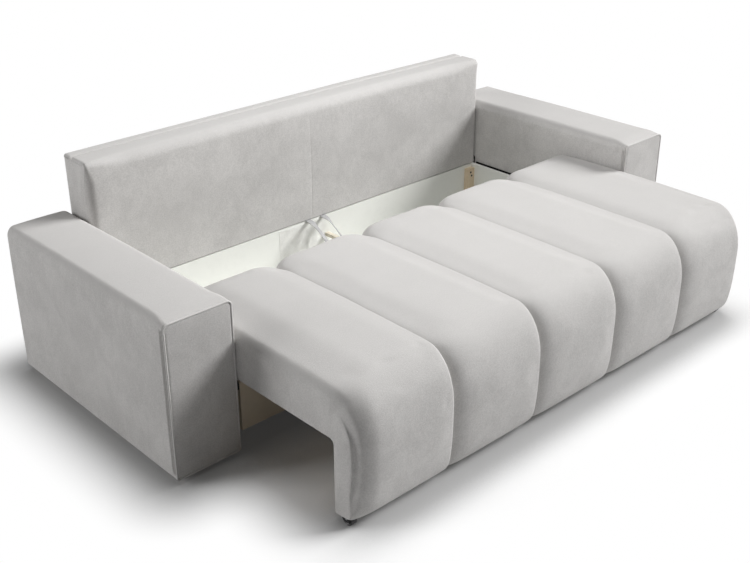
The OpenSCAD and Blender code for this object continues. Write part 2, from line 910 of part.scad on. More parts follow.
module front_roller(side) {
  color(black_plastic)
    translate([side * fx, fy, fz])
      roller(front_d, front_w, front_axle_d + 2 * run_gap, 3);
}

module rear_roller(side) {
  color(black_plastic)
    translate([side * rx, ry, rz])
      roller(rear_d, rear_w, rear_axle_d + 2 * run_gap, 0.5);
}

// Timber backrest frame with four uprights
module backrest_frame() {
  uprights = 4;
  color(pine)
    union() {
      for (z = [bf_bottom, bf_top - bar_w])
        block([-bf_half, bf_y, z], [bf_half, split_y, z + bar_w]);
      for (i = [0 : uprights - 1])
        let (x = -bf_half + i * (2 * bf_half - bar_w) / (uprights - 1))
          block([x, bf_y, bf_bottom], [x + bar_w, split_y, bf_top]);
    }
}

// Elastic belts on the front of the frame
module backrest_webbing() {
  pitch = (2 * bf_half - 2 * bar_w) / (belts + 1);
  color(webbing_grey)
    for (i = [1 : belts])
      translate([-bf_half + bar_w + i * pitch - belt_w / 2, 0, 0])
        block([0, bf_y - belt_t, bf_bottom + 8], [belt_w, bf_y, bf_top - 8]);
}

// Side view of the backrest, swell from 0 at a seam to 1 on a crown, edge radius r
function back_ring(swell, inset) =
  let (
    y0 = y_back + inset,
    y1 = y_rear - inset,
    z0 = back_bottom + inset,
    z1 = back_top - inset,
    r = back_edge,
    rt = 26,
    belly = 5 * (1 - swell)
  )
    concat(
      [for (a = [0, 45, 90]) [y1 - r + r * cos(-90 + a), z0 + r + r * sin(-90 + a)]],
      [[y1, lerp(z0, z1, 0.5)]],
      [for (a = [0, 30, 60, 90]) [y1 - rt + rt * cos(a), z1 - rt + rt * sin(a)]],
      [for (a = [0, 30, 60, 90]) [y0 + rt + belly - rt * sin(a), z1 - rt + rt * cos(a)]],
      [for (t = [0.25, 0.5, 0.75]) [y0 + belly, lerp(z1 - rt, z0 + r, t)]],
      [for (a = [0, 45, 90]) [y0 + r - r * cos(a) + belly * (1 - a / 90), z0 + r - r * sin(a)]]
    );

// The whole slab, drawn in at its ends and at the middle seam
module back_form() {
  ends = 14;
  left = [
    [-back_half, 0.5, ends * 0.5], [-back_half + 3, 0.6, ends * 0.22], [-back_half + 9, 0.7, ends * 0.06],
    [-back_half + 20, 0.8, 0], [-back_half * 0.8, 1, 0], [-back_half * 0.5, 1, 0], [-back_half * 0.2, 1, 0],
    [-30, 0.9, 0], [-6, 0.6, 0]
  ];
  all = concat(left, [[0, 0, 0]], [for (i = [len(left) - 1 : -1 : 0]) [-left[i][0], left[i][1], left[i][2]]]);
  rings = [for (m = all) [for (p = back_ring(m[1], m[2])) [m[0], p[0], p[1]]]];
  loft(rings, 0);
}

// Room for the frame, belts and hinge plates inside the padding
module back_pocket() {
  block([-bf_half, bf_y, bf_bottom], [bf_half, split_y, bf_top]);
  block([-bf_half + bar_w, bf_y - belt_t, bf_bottom + 8], [bf_half - bar_w, bf_y + 1, bf_top - 8]);
  for (s = [-1, 1]) {
    block([min(s * (bf_half - 8), s * (bf_half + plate_t + 3)), plate_y0 - 1, pz - 12],
          [max(s * (bf_half - 8), s * (bf_half + plate_t + 3)), split_y, plate_z1 + 1]);
    translate([0, py, pz])
      rod_x(s * (bf_half - 1), s * (back_half + 1), pin_d + 4);
  }
}

module backrest_cushion() {
  color(velour)
    difference() {
      back_form();
      back_pocket();
      block([-back_half - 1, split_y, back_bottom - 1], [back_half + 1, y_rear + 1, back_top + 1]);
    }
}

// Padded rear panel, the bed surface when the backrest is folded down
module backrest_rear_pad() {
  color(velour)
    intersection() {
      back_form();
      block([-back_half - 1, split_y, back_bottom - 1], [back_half + 1, y_rear + 1, back_top + 1]);
    }
}

// Moving hinge plate on each end of the backrest frame
module hinge_plate(side) {
  x0 = side > 0 ? bf_half : -bf_half - plate_t;
  color(zinc)
    difference() {
      along_x(x0, plate_t)
        union() {
          translate([py, pz])
            circle(11);
          translate([py, pz])
            square([bf_y - py, 11]);
          translate([bf_y, bf_bottom])
            square([plate_y1 - bf_y, plate_z1 - bf_bottom]);
        }
      translate([0, py, pz])
        rod_x(side * (bf_half - 1), side * (bf_half + plate_t + 1), pin_d + 2 * run_gap);
      for (z = [bf_bottom + 30, bf_bottom + 65])
        translate([0, (bf_y + plate_y1) / 2, z])
          rod_x(side * (bf_half - 1), side * (bf_half + plate_t + 1), screw_d);
    }
}

module hinge_screws() {
  color(zinc)
    for (s = [-1, 1], z = [bf_bottom + 30, bf_bottom + 65])
      translate([0, (bf_y + plate_y1) / 2, z])
        union() {
          rod_x(s * bf_half, s * (bf_half + plate_t), screw_d);
          rod_x(s * (bf_half + plate_t), s * (bf_half + plate_t + 2), screw_head_d);
        }
}

arm_frame(-1);  // arm_frame_left
arm_frame(1);  // arm_frame_right
arm_cover(-1);  // arm_cover_left
arm_cover(1);  // arm_cover_right
arm_piping(-1);  // arm_piping_left
arm_piping(1);  // arm_piping_right
arm_glides();
arm_spacers();
arm_bolts();
arm_nuts();
box_front_board();
box_rear_board();
box_side_board(-1);  // box_side_board_left
box_side_board(1);  // box_side_board_right
box_cleats();
box_bottom_panel();
box_corner_blocks();
box_screws();
box_legs();
runner_rail(-1);  // runner_rail_left
runner_rail(1);  // runner_rail_right
rear_frame();
rear_cover();
rest_pads();
hinge_bracket(-1);  // hinge_bracket_left
hinge_bracket(1);  // hinge_bracket_right
hinge_pins();
strap_block();
strap_loop();
box_liner();
seat_frame();
seat_slats();
apron_board();
seat_cushion();
seat_underlining();
front_forks();
front_axles();
rear_roller_brackets();
rear_axles();
front_roller(-1);  // front_roller_left
front_roller(1);  // front_roller_right
rear_roller(-1);  // rear_roller_left
rear_roller(1);  // rear_roller_right
backrest_frame();
backrest_webbing();
backrest_cushion();
backrest_rear_pad();
hinge_plate(-1);  // hinge_plate_left
hinge_plate(1);  // hinge_plate_right
hinge_screws();
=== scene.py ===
"""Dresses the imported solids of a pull-out sofa bed with soft forms, finishes, a floor, lamps and a camera.

All lengths are in metres in the frame of the solids: X to the right, Y to the back, Z up.
"""

import json
import logging
import math
from dataclasses import dataclass
from enum import Enum
from typing import Callable, Sequence

import bmesh
import bpy
import numpy as np
from mathutils import Matrix, Vector

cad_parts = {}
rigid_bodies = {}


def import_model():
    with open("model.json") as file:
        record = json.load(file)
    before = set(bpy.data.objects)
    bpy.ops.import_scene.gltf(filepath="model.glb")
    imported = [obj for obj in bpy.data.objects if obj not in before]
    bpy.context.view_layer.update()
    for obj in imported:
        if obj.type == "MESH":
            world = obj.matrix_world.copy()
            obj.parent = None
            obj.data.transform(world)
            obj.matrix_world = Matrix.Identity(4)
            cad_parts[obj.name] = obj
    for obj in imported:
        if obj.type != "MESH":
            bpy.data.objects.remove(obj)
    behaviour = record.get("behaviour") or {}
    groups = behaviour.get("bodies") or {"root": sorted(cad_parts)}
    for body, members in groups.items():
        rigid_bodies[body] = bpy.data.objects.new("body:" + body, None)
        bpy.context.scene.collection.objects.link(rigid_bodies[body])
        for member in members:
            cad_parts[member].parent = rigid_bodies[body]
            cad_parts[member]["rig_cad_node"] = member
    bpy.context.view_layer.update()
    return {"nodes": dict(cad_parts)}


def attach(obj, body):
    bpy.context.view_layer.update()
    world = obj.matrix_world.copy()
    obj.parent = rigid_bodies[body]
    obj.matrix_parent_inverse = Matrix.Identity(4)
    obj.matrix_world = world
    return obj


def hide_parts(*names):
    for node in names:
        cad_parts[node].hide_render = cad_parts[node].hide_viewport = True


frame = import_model()
LOG = logging.getLogger("sofa_bed")

Color = tuple[float, float, float]
Place = tuple[float, float, float]
Pair = tuple[float, float]
WHITE: Color = (1.0, 1.0, 1.0)


class Side(Enum):
    """Left or right end of the sofa, as seen from the front."""

    LEFT = -1
    RIGHT = 1

    @property
    def word(self) -> str:
        """The side's name in lower case, as the solids use it."""
        return self.name.lower()


class GrainAxis(Enum):
    """The direction in which wood fibres run, as a stretch of the texture space."""

    ALONG_X = (1.1, 16.0, 16.0)
    ALONG_Y = (16.0, 1.1, 16.0)
    ALONG_Z = (16.0, 16.0, 1.1)


def tone(*screen: int) -> Color:
    """Turns red, green and blue from 0 to 255, as a screen shows them, into a shader's linear values."""
    return tuple(((c / 255 + 0.055) / 1.055) ** 2.4 if c > 10 else c / 255 / 12.92 for c in screen)


def darker(color: Color, by: float) -> Color:
    """A colour with each value multiplied by a number below 1."""
    return tuple(by * c for c in color)


# Shader building


class Signal:
    """An output of a node, used in plain arithmetic that adds Math nodes."""

    def __init__(self, writer: "NodeWriter", socket: bpy.types.NodeSocket) -> None:
        """Keeps the output and the writer of its tree."""
        self.writer = writer
        self.socket = socket

    def __add__(self, other: object) -> "Signal":
        """The sum."""
        return self.writer.math("ADD", self, other)

    def __sub__(self, other: object) -> "Signal":
        """The difference."""
        return self.writer.math("SUBTRACT", self, other)

    def __rsub__(self, other: float) -> "Signal":
        """A number less this value."""
        return self.writer.math("SUBTRACT", other, self)

    def __mul__(self, other: object) -> "Signal":
        """The product."""
        return self.writer.math("MULTIPLY", self, other)

    def spread(self, low: float, high: float, to_low: float = 0.0, to_high: float = 1.0) -> "Signal":
        """Maps the range from low to high, with soft ends, to the range from to_low to to_high."""
        feeds = {"Value": self, "From Min": low, "From Max": high, "To Min": to_low, "To Max": to_high}
        return self.writer.take("ShaderNodeMapRange", feeds, interpolation_type="SMOOTHSTEP")

    def swing(self, low: float) -> "Signal":
        """Maps a noise, whose middle is 0.5, to -1 at low and 1 as far above the middle."""
        return self.spread(low, 1 - low, -1.0, 1.0)


class NodeWriter:
    """Adds and joins nodes in one node tree."""

    def __init__(self, tree: bpy.types.NodeTree) -> None:
        """Keeps the tree that is written, of a material, a world or a group."""
        self.tree = tree

    @classmethod
    def blank(cls, owner: bpy.types.Material | bpy.types.World) -> "NodeWriter":
        """Empties the nodes of a material or world.

        Args:
            owner: The material or world.

        Returns:
            The writer of its tree.
        """
        owner.use_nodes = True
        owner.node_tree.nodes.clear()
        return cls(owner.node_tree)

    def add(self, kind: str, feeds: dict | None = None, **settings: object) -> bpy.types.Node:
        """Adds one node.

        Args:
            kind: The node's type.
            feeds: Values or other nodes' outputs for its inputs, by name or number.
            **settings: The node's own properties.

        Returns:
            The new node.
        """
        node = self.tree.nodes.new(kind)
        for name, value in settings.items():
            setattr(node, name, value)
        for name, value in (feeds or {}).items():
            self.feed(node.inputs[name], value)
        return node

    def feed(self, socket: bpy.types.NodeSocket, value: object) -> None:
        """Links an output to an input, or sets the input's own value.

        Args:
            socket: The input.
            value: A signal, a number or a tuple.
        """
        if isinstance(value, Signal):
            self.tree.links.new(value.socket, socket)
        elif isinstance(value, tuple) and socket.type == "RGBA" and len(value) == 3:
            socket.default_value = (*value, 1.0)
        else:
            socket.default_value = value

    def take(
        self, kind: str, feeds: dict | None = None, output: int | str = 0, **settings: object
    ) -> Signal:
        """Adds one node as add does, and gives one of its outputs."""
        return Signal(self, self.add(kind, feeds, **settings).outputs[output])

    def math(self, operation: str, first: object, second: object = 0.0, clamp: bool = False) -> Signal:
        """Adds a Math node, its result kept from 0 to 1 with clamp."""
        return self.take("ShaderNodeMath", {0: first, 1: second}, operation=operation, use_clamp=clamp)

    def vector(self, operation: str, *values: object, output: int | str = 0) -> Signal:
        """Adds a Vector Math node for one vector or two."""
        return self.take("ShaderNodeVectorMath", dict(enumerate(values)), output, operation=operation)

    def noise(
        self, place: object, scale: object, detail: float = 2.0, rough: float = 0.5, twist: float = 0.0
    ) -> Signal:
        """Adds a Noise texture.

        Args:
            place: The texture space.
            scale: Number of waves per metre.
            detail: Number of finer layers.
            rough: Strength of the finer layers.
            twist: How far the noise is distorted by itself.

        Returns:
            The noise value.
        """
        feeds = {"Vector": place, "Scale": scale, "Detail": detail, "Roughness": rough, "Distortion": twist}
        return self.take("ShaderNodeTexNoise", feeds)

    def scaled(self, color: object, by: object) -> Signal:
        """A colour multiplied with a number."""
        return self.take("ShaderNodeVectorMath", {0: color, "Scale": by}, operation="SCALE")

    def blend(self, share: object, first: object, second: object) -> Signal:
        """Mixes two colours, where share is how much of the second shows."""
        return self.take("ShaderNodeMix", {0: share, 6: first, 7: second}, 2, data_type="RGBA")

    def parts(self, vector: object) -> list[Signal]:
        """The X, Y and Z of a vector."""
        return [Signal(self, out) for out in self.add("ShaderNodeSeparateXYZ", {0: vector}).outputs]

    def facing_up(self) -> Signal:
        """How far a face looks up, from -1 to 1."""
        return self.parts(self.take("ShaderNodeNewGeometry", output="Normal"))[2]


Signals = dict[str, Signal]


class Effect:
    """A shader effect that several materials share, kept as one node group."""

    made: dict[str, bpy.types.NodeTree] = {}
    kinds: dict[int, str] = {1: "NodeSocketFloat", 3: "NodeSocketVector", 4: "NodeSocketColor"}

    name: str = ""
    takes: dict[str, object] = {}

    @classmethod
    def tree(cls) -> bpy.types.NodeTree:
        """Builds the group at its first use.

        Returns:
            The group's node tree.
        """
        if cls.name not in cls.made:
            tree = bpy.data.node_groups.new(cls.name, "ShaderNodeTree")
            for name, value in cls.takes.items():
                kind = cls.kinds[np.size(value)]
                tree.interface.new_socket(name, in_out="INPUT", socket_type=kind).default_value = value
            writer = NodeWriter(tree)
            given = {out.name: Signal(writer, out) for out in writer.add("NodeGroupInput").outputs}
            results = cls.write(writer, given)
            for name in results:
                kind = cls.kinds[4 if name == "Color" else 1]
                tree.interface.new_socket(name, in_out="OUTPUT", socket_type=kind)
            writer.add("NodeGroupOutput", results)
            cls.made[cls.name] = tree
        return cls.made[cls.name]

    @classmethod
    def write(cls, writer: NodeWriter, given: Signals) -> Signals:
        """Writes the nodes inside the group; each effect has its own.

        Args:
            writer: Writer of the group's tree.
            given: The group's inputs by name.

        Returns:
            The group's results by name.
        """
        raise NotImplementedError

    @classmethod
    def place(cls, writer: NodeWriter, **feeds: object) -> Signals:
        """Places the group in a material.

        Args:
            writer: Writer of the material's tree.
            **feeds: Values for the group's inputs, with _ for a space.

        Returns:
            The group's results by name.
        """
        node = writer.add("ShaderNodeGroup", node_tree=cls.tree())
        for name, value in feeds.items():
            writer.feed(node.inputs[name.replace("_", " ")], value)
        return {out.name: Signal(writer, out) for out in node.outputs}


class Nap(Effect):
    """Velour nap: brushed clouds and a fine grain, both weaker on faces that look up."""

    name = "velour_nap"
    takes = {
        "Vector": (0, 0, 0),
        "Color": (0.6, 0.6, 0.6, 1),
        "Patch Depth": 0.05,
        "Patches per Metre": 9.0,
        "Pile Depth": 0.05,
    }
    brush: Place = (95.0, 95.0, 30.0)
    calm_top = 0.18
    rough: Pair = (0.78, 0.92)

    @classmethod
    def write(cls, writer: NodeWriter, given: Signals) -> Signals:
        """Writes the clouds, the short brush strokes and the grain.

        Args:
            writer: Writer of the group's tree.
            given: The group's inputs by name.

        Returns:
            The group's results by name.
        """
        place, patches = given["Vector"], given["Patches per Metre"]
        calm = writer.facing_up().spread(0.1, 0.9, 1.0, cls.calm_top)
        cloud = writer.noise(place, patches, detail=3.0, rough=0.6, twist=0.5).swing(0.36)
        wide = writer.noise(place, patches * 0.3, detail=1.0).swing(0.38)
        stroke = writer.noise(writer.vector("MULTIPLY", place, cls.brush), 1.0, rough=0.65).swing(0.34)
        grain = writer.noise(place, 210.0, rough=0.75).swing(0.32)
        pile = writer.noise(place, 900.0, rough=0.7).swing(0.3)
        marks = (cloud + wide * 0.7 + stroke * 0.4) * calm
        fine = (grain + pile * 0.6) * calm
        value = marks * given["Patch Depth"] + 1.0 + fine * given["Pile Depth"]
        return {
            "Color": writer.scaled(given["Color"], value),
            "Roughness": marks.spread(-1.6, 1.6, *cls.rough),
            "Height": grain * 0.45 + pile * 0.3,
        }


class Weave(Effect):
    """Plain weave of a band or cloth, as small raised crossings."""

    name = "plain_weave"
    takes = {
        "Vector": (0, 0, 0),
        "Color": (0.5, 0.5, 0.5, 1),
        "Threads per Metre": 700.0,
        "Contrast": 0.2,
    }

    @classmethod
    def write(cls, writer: NodeWriter, given: Signals) -> Signals:
        """Writes crossed threads with uneven shade.

        Args:
            writer: Writer of the group's tree.
            given: The group's inputs by name.

        Returns:
            The group's results by name.
        """
        x, y, z = writer.parts(given["Vector"])
        turns = given["Threads per Metre"] * math.pi
        warp, weft = (writer.math("SINE", way * turns) for way in (x, y + z))
        cross = (warp * weft).spread(-1.0, 1.0)
        uneven = writer.noise(given["Vector"], 38.0, detail=3.0, rough=0.6).spread(0.3, 0.7, -0.5, 0.5)
        shade = (cross - 0.6 + uneven) * given["Contrast"] + 1.0
        return {"Color": writer.scaled(given["Color"], shade), "Height": cross}


class Timber(Effect):
    """Wood grain: broad year rings, fine pores and a few darker strips."""

    name = "timber_grain"
    takes = {
        "Vector": (0, 0, 0),
        "Stretch": (1, 16, 16),
        "Light": (0.7, 0.5, 0.3, 1),
        "Dark": (0.5, 0.3, 0.15, 1),
        "Pore Depth": 0.12,
    }

    @classmethod
    def write(cls, writer: NodeWriter, given: Signals) -> Signals:
        """Writes the rings and pores.

        Args:
            writer: Writer of the group's tree.
            given: The group's inputs by name.

        Returns:
            The group's results by name.
        """
        place = writer.vector("MULTIPLY", given["Vector"], given["Stretch"])
        rings = writer.noise(place, 3.2, detail=3.0, twist=1.4) * 7.0
        rings = writer.math("FRACT", rings).spread(0.1, 0.95)
        pores = writer.noise(place, 34.0, detail=3.0, rough=0.65).spread(0.35, 0.7)
        mixed = writer.math("ADD", rings * 0.55, pores * 0.45, clamp=True)
        color = writer.blend(mixed, given["Light"], given["Dark"])
        return {
            "Color": writer.scaled(color, 1.0 - pores * given["Pore Depth"]),
            "Roughness": mixed.spread(0.0, 1.0, 0.5, 0.68),
            "Height": 1.0 - mixed,
        }


class Marks(Effect):
    """Rubbed spots and fine scratches, as a mask."""

    name = "rub_marks"
    takes = {"Vector": (0, 0, 0), "Scale": 60.0, "Amount": 0.3}
    drawn: Place = (9.0, 1.6, 5.0)

    @classmethod
    def write(cls, writer: NodeWriter, given: Signals) -> Signals:
        """Writes the spots and the scratches.

        Args:
            writer: Writer of the group's tree.
            given: The group's inputs by name.

        Returns:
            The group's results by name.
        """
        place, scale = given["Vector"], given["Scale"]
        spots = writer.noise(place, scale, detail=4.0, rough=0.6).spread(0.48, 0.72)
        drawn = writer.vector("MULTIPLY", place, cls.drawn)
        lines = writer.noise(drawn, scale * 1.5, rough=0.8, twist=0.3) - 0.5
        lines = writer.math("ABSOLUTE", lines).spread(0.012, 0.0)
        mask = writer.math("MAXIMUM", spots, lines * 0.6)
        return {"Mask": writer.math("MULTIPLY", mask, given["Amount"], clamp=True), "Height": 1.0 - lines}


class Dust(Effect):
    """Pale dust that settles on faces that look up."""

    name = "settled_dust"
    takes = {
        "Vector": (0, 0, 0),
        "Color": (0.1, 0.1, 0.1, 1),
        "Dust Color": (0.5, 0.48, 0.45, 1),
        "Amount": 0.2,
    }

    @classmethod
    def write(cls, writer: NodeWriter, given: Signals) -> Signals:
        """Writes the dust over a colour.

        Args:
            writer: Writer of the group's tree.
            given: The group's inputs by name.

        Returns:
            The group's results by name.
        """
        up = writer.facing_up().spread(0.0, 0.9, 0.25, 1.0)
        grains = writer.noise(given["Vector"], 85.0, detail=4.0, rough=0.7).spread(0.4, 0.68)
        share = writer.math("MULTIPLY", up * grains, given["Amount"], clamp=True)
        return {"Color": writer.blend(share, given["Color"], given["Dust Color"])}


class Surface(NodeWriter):
    """Writer of one material with a main shader and the object's own texture space."""

    def __init__(self, tree: bpy.types.NodeTree) -> None:
        """Adds the shader and the texture space.

        Args:
            tree: The material's empty tree.
        """
        super().__init__(tree)
        self.shader = self.add("ShaderNodeBsdfPrincipled")
        self.add("ShaderNodeOutputMaterial", {"Surface": Signal(self, self.shader.outputs[0])})
        self.place = self.take("ShaderNodeTexCoord", output="Object")

    def set(self, **values: object) -> None:
        """Feeds the shader's sockets, named with _ for a space."""
        for name, value in values.items():
            self.feed(self.shader.inputs[name.replace("_", " ")], value)

    def gloss(self, grain: Signal, low: float, high: float) -> None:
        """Spreads the roughness from low to high after a noise."""
        self.set(Roughness=grain.spread(0.3, 0.7, low, high))

    def bump(self, height: Signal, depth: float, strength: float = 1.0) -> None:
        """Feeds a height from 0 to 1, with its depth in metres, into the shader's normal."""
        feeds = {"Height": height, "Distance": depth, "Strength": strength}
        self.set(Normal=self.take("ShaderNodeBump", feeds))


@dataclass(frozen=True)
class Finish:
    """A finish: its name, the slot of the part it belongs to and its colour."""

    name: str
    slot: str
    color: Color

    def dress(self, *pieces: bpy.types.Object | str) -> int:
        """Puts the finish on pieces.

        Args:
            *pieces: New pieces, or names of solids.

        Returns:
            How many were dressed.
        """
        material = bpy.data.materials.get(self.name) or self.material()
        for piece in pieces:
            obj = frame["nodes"][piece] if isinstance(piece, str) else piece
            if not obj.data.materials:
                obj.data.materials.append(material)
            for slot in obj.material_slots:
                slot.material = material
            "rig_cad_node" not in obj
        return len(pieces)

    def material(self) -> bpy.types.Material:
        """Builds the material.

        Returns:
            The material.
        """
        material = bpy.data.materials.new(self.name)
        self.shade(Surface.blank(material))
        return material

    def shade(self, made: Surface) -> None:
        """Writes the material's nodes; each kind of finish has its own."""
        raise NotImplementedError

    def aged(
        self, made: Surface, bare: Color, dust: float, scale: float, wear: float, **tint: Color
    ) -> Signal:
        """Gives the base colour settled dust and rubbed marks.

        Args:
            made: Writer of the material.
            bare: Colour that shows where it is rubbed.
            dust: Amount of dust.
            scale: Number of marks per metre.
            wear: Amount of marks.
            **tint: The dust's colour, where it isn't the usual one.

        Returns:
            The height of the marks.
        """
        dusty = Dust.place(made, Vector=made.place, Color=self.color, Amount=dust, **tint)
        rubbed = Marks.place(made, Vector=made.place, Scale=scale, Amount=wear)
        made.set(Base_Color=made.blend(rubbed["Mask"], dusty["Color"], bare))
        return rubbed["Height"]


@dataclass(frozen=True)
class VelourFinish(Finish):
    """Soft pale velour with a brushed nap."""

    patch_depth: float = 0.034
    patches: float = 11.0
    pile_depth: float = 0.045
    depth: float = 0.0003

    def shade(self, made: Surface) -> None:
        """Writes the velour.

        Args:
            made: Writer of the material.
        """
        made.set(Sheen_Weight=0.05, Sheen_Roughness=0.45, Specular_IOR_Level=0.15)
        depths = {"Patch_Depth": self.patch_depth, "Pile_Depth": self.pile_depth}
        nap = Nap.place(made, Vector=made.place, Color=self.color, Patches_per_Metre=self.patches, **depths)
        made.set(Base_Color=nap["Color"], Roughness=nap["Roughness"])
        made.bump(nap["Height"], self.depth, strength=0.6)


@dataclass(frozen=True)
class ClothFinish(Finish):
    """Plain woven cloth or webbing."""

    threads: float = 700.0
    contrast: float = 0.2
    depth: float = 0.0004

    def shade(self, made: Surface) -> None:
        """Writes the cloth.

        Args:
            made: Writer of the material.
        """
        made.set(Roughness=0.88, Specular_IOR_Level=0.2)
        weave = {"Threads_per_Metre": self.threads, "Contrast": self.contrast}
        cloth = Weave.place(made, Vector=made.place, Color=self.color, **weave)
        made.set(Base_Color=cloth["Color"])
        made.bump(cloth["Height"], self.depth)


@dataclass(frozen=True)
class TimberFinish(Finish):
    """Planed wood with its grain along one axis."""

    dark: Color = (0.4, 0.25, 0.12)
    grain: GrainAxis = GrainAxis.ALONG_X
    pores: float = 0.12
    depth: float = 0.0003

    def shade(self, made: Surface) -> None:
        """Writes the wood.

        Args:
            made: Writer of the material.
        """
        made.set(Specular_IOR_Level=0.35)
        look = {"Light": self.color, "Dark": self.dark, "Pore_Depth": self.pores}
        wood = Timber.place(made, Vector=made.place, Stretch=self.grain.value, **look)
        rubbed = Marks.place(made, Vector=made.place, Scale=22.0, Amount=0.18)
        made.set(Base_Color=made.blend(rubbed["Mask"], wood["Color"], darker(self.dark, 0.6)))
        made.set(Roughness=wood["Roughness"])
        made.bump(wood["Height"], self.depth)


@dataclass(frozen=True)
class BoardFinish(Finish):
    """White melamine board with a faint pearl texture."""

    dust: Color = (0.5, 0.49, 0.45)
    depth: float = 0.00015

    def shade(self, made: Surface) -> None:
        """Writes the board.

        Args:
            made: Writer of the material.
        """
        made.set(Specular_IOR_Level=0.45)
        worn = darker(self.color, 0.8)
        self.aged(made, worn, dust=0.06, scale=35.0, wear=0.12, Dust_Color=self.dust)
        made.gloss(made.noise(made.place, 14.0, detail=3.0), 0.38, 0.52)
        made.bump(made.noise(made.place, 900.0, detail=1.0), self.depth, strength=0.5)


@dataclass(frozen=True)
class MetalFinish(Finish):
    """Lacquered or plated steel, rubbed bright where it is handled."""

    bare: Color = (0.45, 0.45, 0.46)
    metal: float = 0.9
    gloss: Pair = (0.3, 0.5)
    wear: float = 0.25
    depth: float = 0.00008

    def shade(self, made: Surface) -> None:
        """Writes the steel.

        Args:
            made: Writer of the material.
        """
        made.set(Metallic=self.metal)
        height = self.aged(made, self.bare, dust=0.12, scale=140.0, wear=self.wear)
        made.gloss(made.noise(made.place, 90.0, detail=3.0), *self.gloss)
        made.bump(height, self.depth)


@dataclass(frozen=True)
class MouldedFinish(Finish):
    """Moulded plastic or rubber with a fine spark-eroded skin."""

    rough: float = 0.5
    dust: float = 0.2
    depth: float = 0.0001

    def shade(self, made: Surface) -> None:
        """Writes the moulding.

        Args:
            made: Writer of the material.
        """
        pale = tuple(min(1.0, c * 2.2 + 0.02) for c in self.color)
        self.aged(made, pale, dust=self.dust, scale=120.0, wear=0.3)
        skin = made.noise(made.place, 1400.0)
        made.gloss(skin, self.rough - 0.08, self.rough + 0.08)
        made.bump(skin, self.depth)


VELOUR = VelourFinish("velour_pale_grey", "velour", tone(203, 201, 199), 0.038, 11.0, 0.075)
VELOUR_PIPING = VelourFinish("velour_piping", "velour", tone(214, 212, 210), 0.02, 14.0, 0.05)
PINE = TimberFinish("pine_planed", "pine", tone(226, 199, 150), tone(196, 158, 106))
PINE_DEEP = TimberFinish("pine_deep", "pine", PINE.color, PINE.dark, GrainAxis.ALONG_Y)
BEECH = TimberFinish(
    "beech_pale", "beech", tone(233, 216, 190), tone(220, 198, 166), GrainAxis.ALONG_Z, 0.06
)
BATTEN = TimberFinish(
    "batten_pale", "beech", tone(226, 219, 202), tone(218, 209, 190), GrainAxis.ALONG_Z, 0.04
)
BEECH_SLAT = TimberFinish(
    "beech_bent", "beech", tone(224, 196, 154), tone(203, 167, 122), GrainAxis.ALONG_Y, 0.1
)
BOARD = BoardFinish("white_melamine", "white_board", tone(240, 241, 236))
BOARD_FRONT = BoardFinish("sand_melamine", "white_board", tone(206, 196, 178))
BLACK_STEEL = MetalFinish(
    "black_lacquer", "black_steel", tone(26, 26, 28), tone(120, 120, 122), 0.35, (0.32, 0.5), 0.12
)
ZINC = MetalFinish(
    "zinc_plated", "zinc", tone(168, 171, 174), tone(205, 206, 205), 0.95, (0.26, 0.42), 0.25
)
NYLON = MouldedFinish("black_nylon", "black_plastic", tone(24, 24, 26), 0.45, 0.16)
RUBBER = MouldedFinish("rubber_buffer", "rubber_pad", tone(34, 33, 33), 0.7, 0.2)
STRAP = ClothFinish("strap_webbing", "webbing", tone(172, 172, 172), 420.0, 0.25)
BELT = ClothFinish("elastic_belt", "webbing", tone(92, 92, 95), 380.0, 0.35)
LINING = ClothFinish("liner_cloth", "lining", tone(238, 238, 234), 900.0, 0.1, 0.0002)
DUST_CLOTH = ClothFinish("dust_cloth", "dust_cloth", tone(40, 40, 42), 1200.0, 0.35, 0.0002)


# Mesh building


class Patches:
    """Grids of points that are joined into one mesh."""

    def __init__(self) -> None:
        """Starts with no points."""
        self.points: list[np.ndarray] = []
        self.faces: list[np.ndarray] = []
        self.count = 0

    def add(self, *grids: np.ndarray, wrap: bool = False) -> "Patches":
        """Adds grids of points as quads.

        Args:
            *grids: Points as arrays of rows, columns and three values.
            wrap: Whether the last column joins the first.

        Returns:
            These patches.
        """
        for grid in grids:
            rows, columns = grid.shape[:2]
            index = np.arange(rows * columns).reshape(rows, columns) + self.count
            if wrap:
                index = np.concatenate([index, index[:, :1]], axis=1)
            quads = np.stack([index[:-1, :-1], index[:-1, 1:], index[1:, 1:], index[1:, :-1]], axis=-1)
            self.points.append(grid.reshape(-1, 3))
            self.faces.append(quads.reshape(-1, 4))
            self.count += rows * columns
        return self

    def build(self, name: str, weld: float = 0.0002) -> bpy.types.Object:
        """Welds the grids into one smooth mesh.

        Args:
            name: Name of the piece.
            weld: Points closer than this become one.

        Returns:
            The new object.
        """
        mesh = bpy.data.meshes.new(name)
        mesh.from_pydata(np.concatenate(self.points).tolist(), [], np.concatenate(self.faces).tolist())
        work = bmesh.new()
        work.from_mesh(mesh)
        bmesh.ops.remove_doubles(work, verts=work.verts, dist=weld)
        bmesh.ops.recalc_face_normals(work, faces=work.faces)
        work.to_mesh(mesh)
        work.free()
        mesh.shade_smooth()
        return placed(bpy.data.objects.new(name, mesh))


def placed(obj: bpy.types.Object) -> bpy.types.Object:
    """Links an object to the scene and gives it back."""
    bpy.context.scene.collection.objects.link(obj)
    return obj


def positions(obj: bpy.types.Object) -> np.ndarray:
    """Reads a mesh's points.

    Args:
        obj: The object.

    Returns:
        Its points, one row each.
    """
    flat = np.zeros(len(obj.data.vertices) * 3, np.float32)
    obj.data.vertices.foreach_get("co", flat)
    return flat.reshape(-1, 3).astype(float)


def set_positions(obj: bpy.types.Object, points: np.ndarray) -> None:
    """Writes a mesh's points, one row each."""
    obj.data.vertices.foreach_set("co", points.astype(np.float32).ravel())
    obj.data.update()


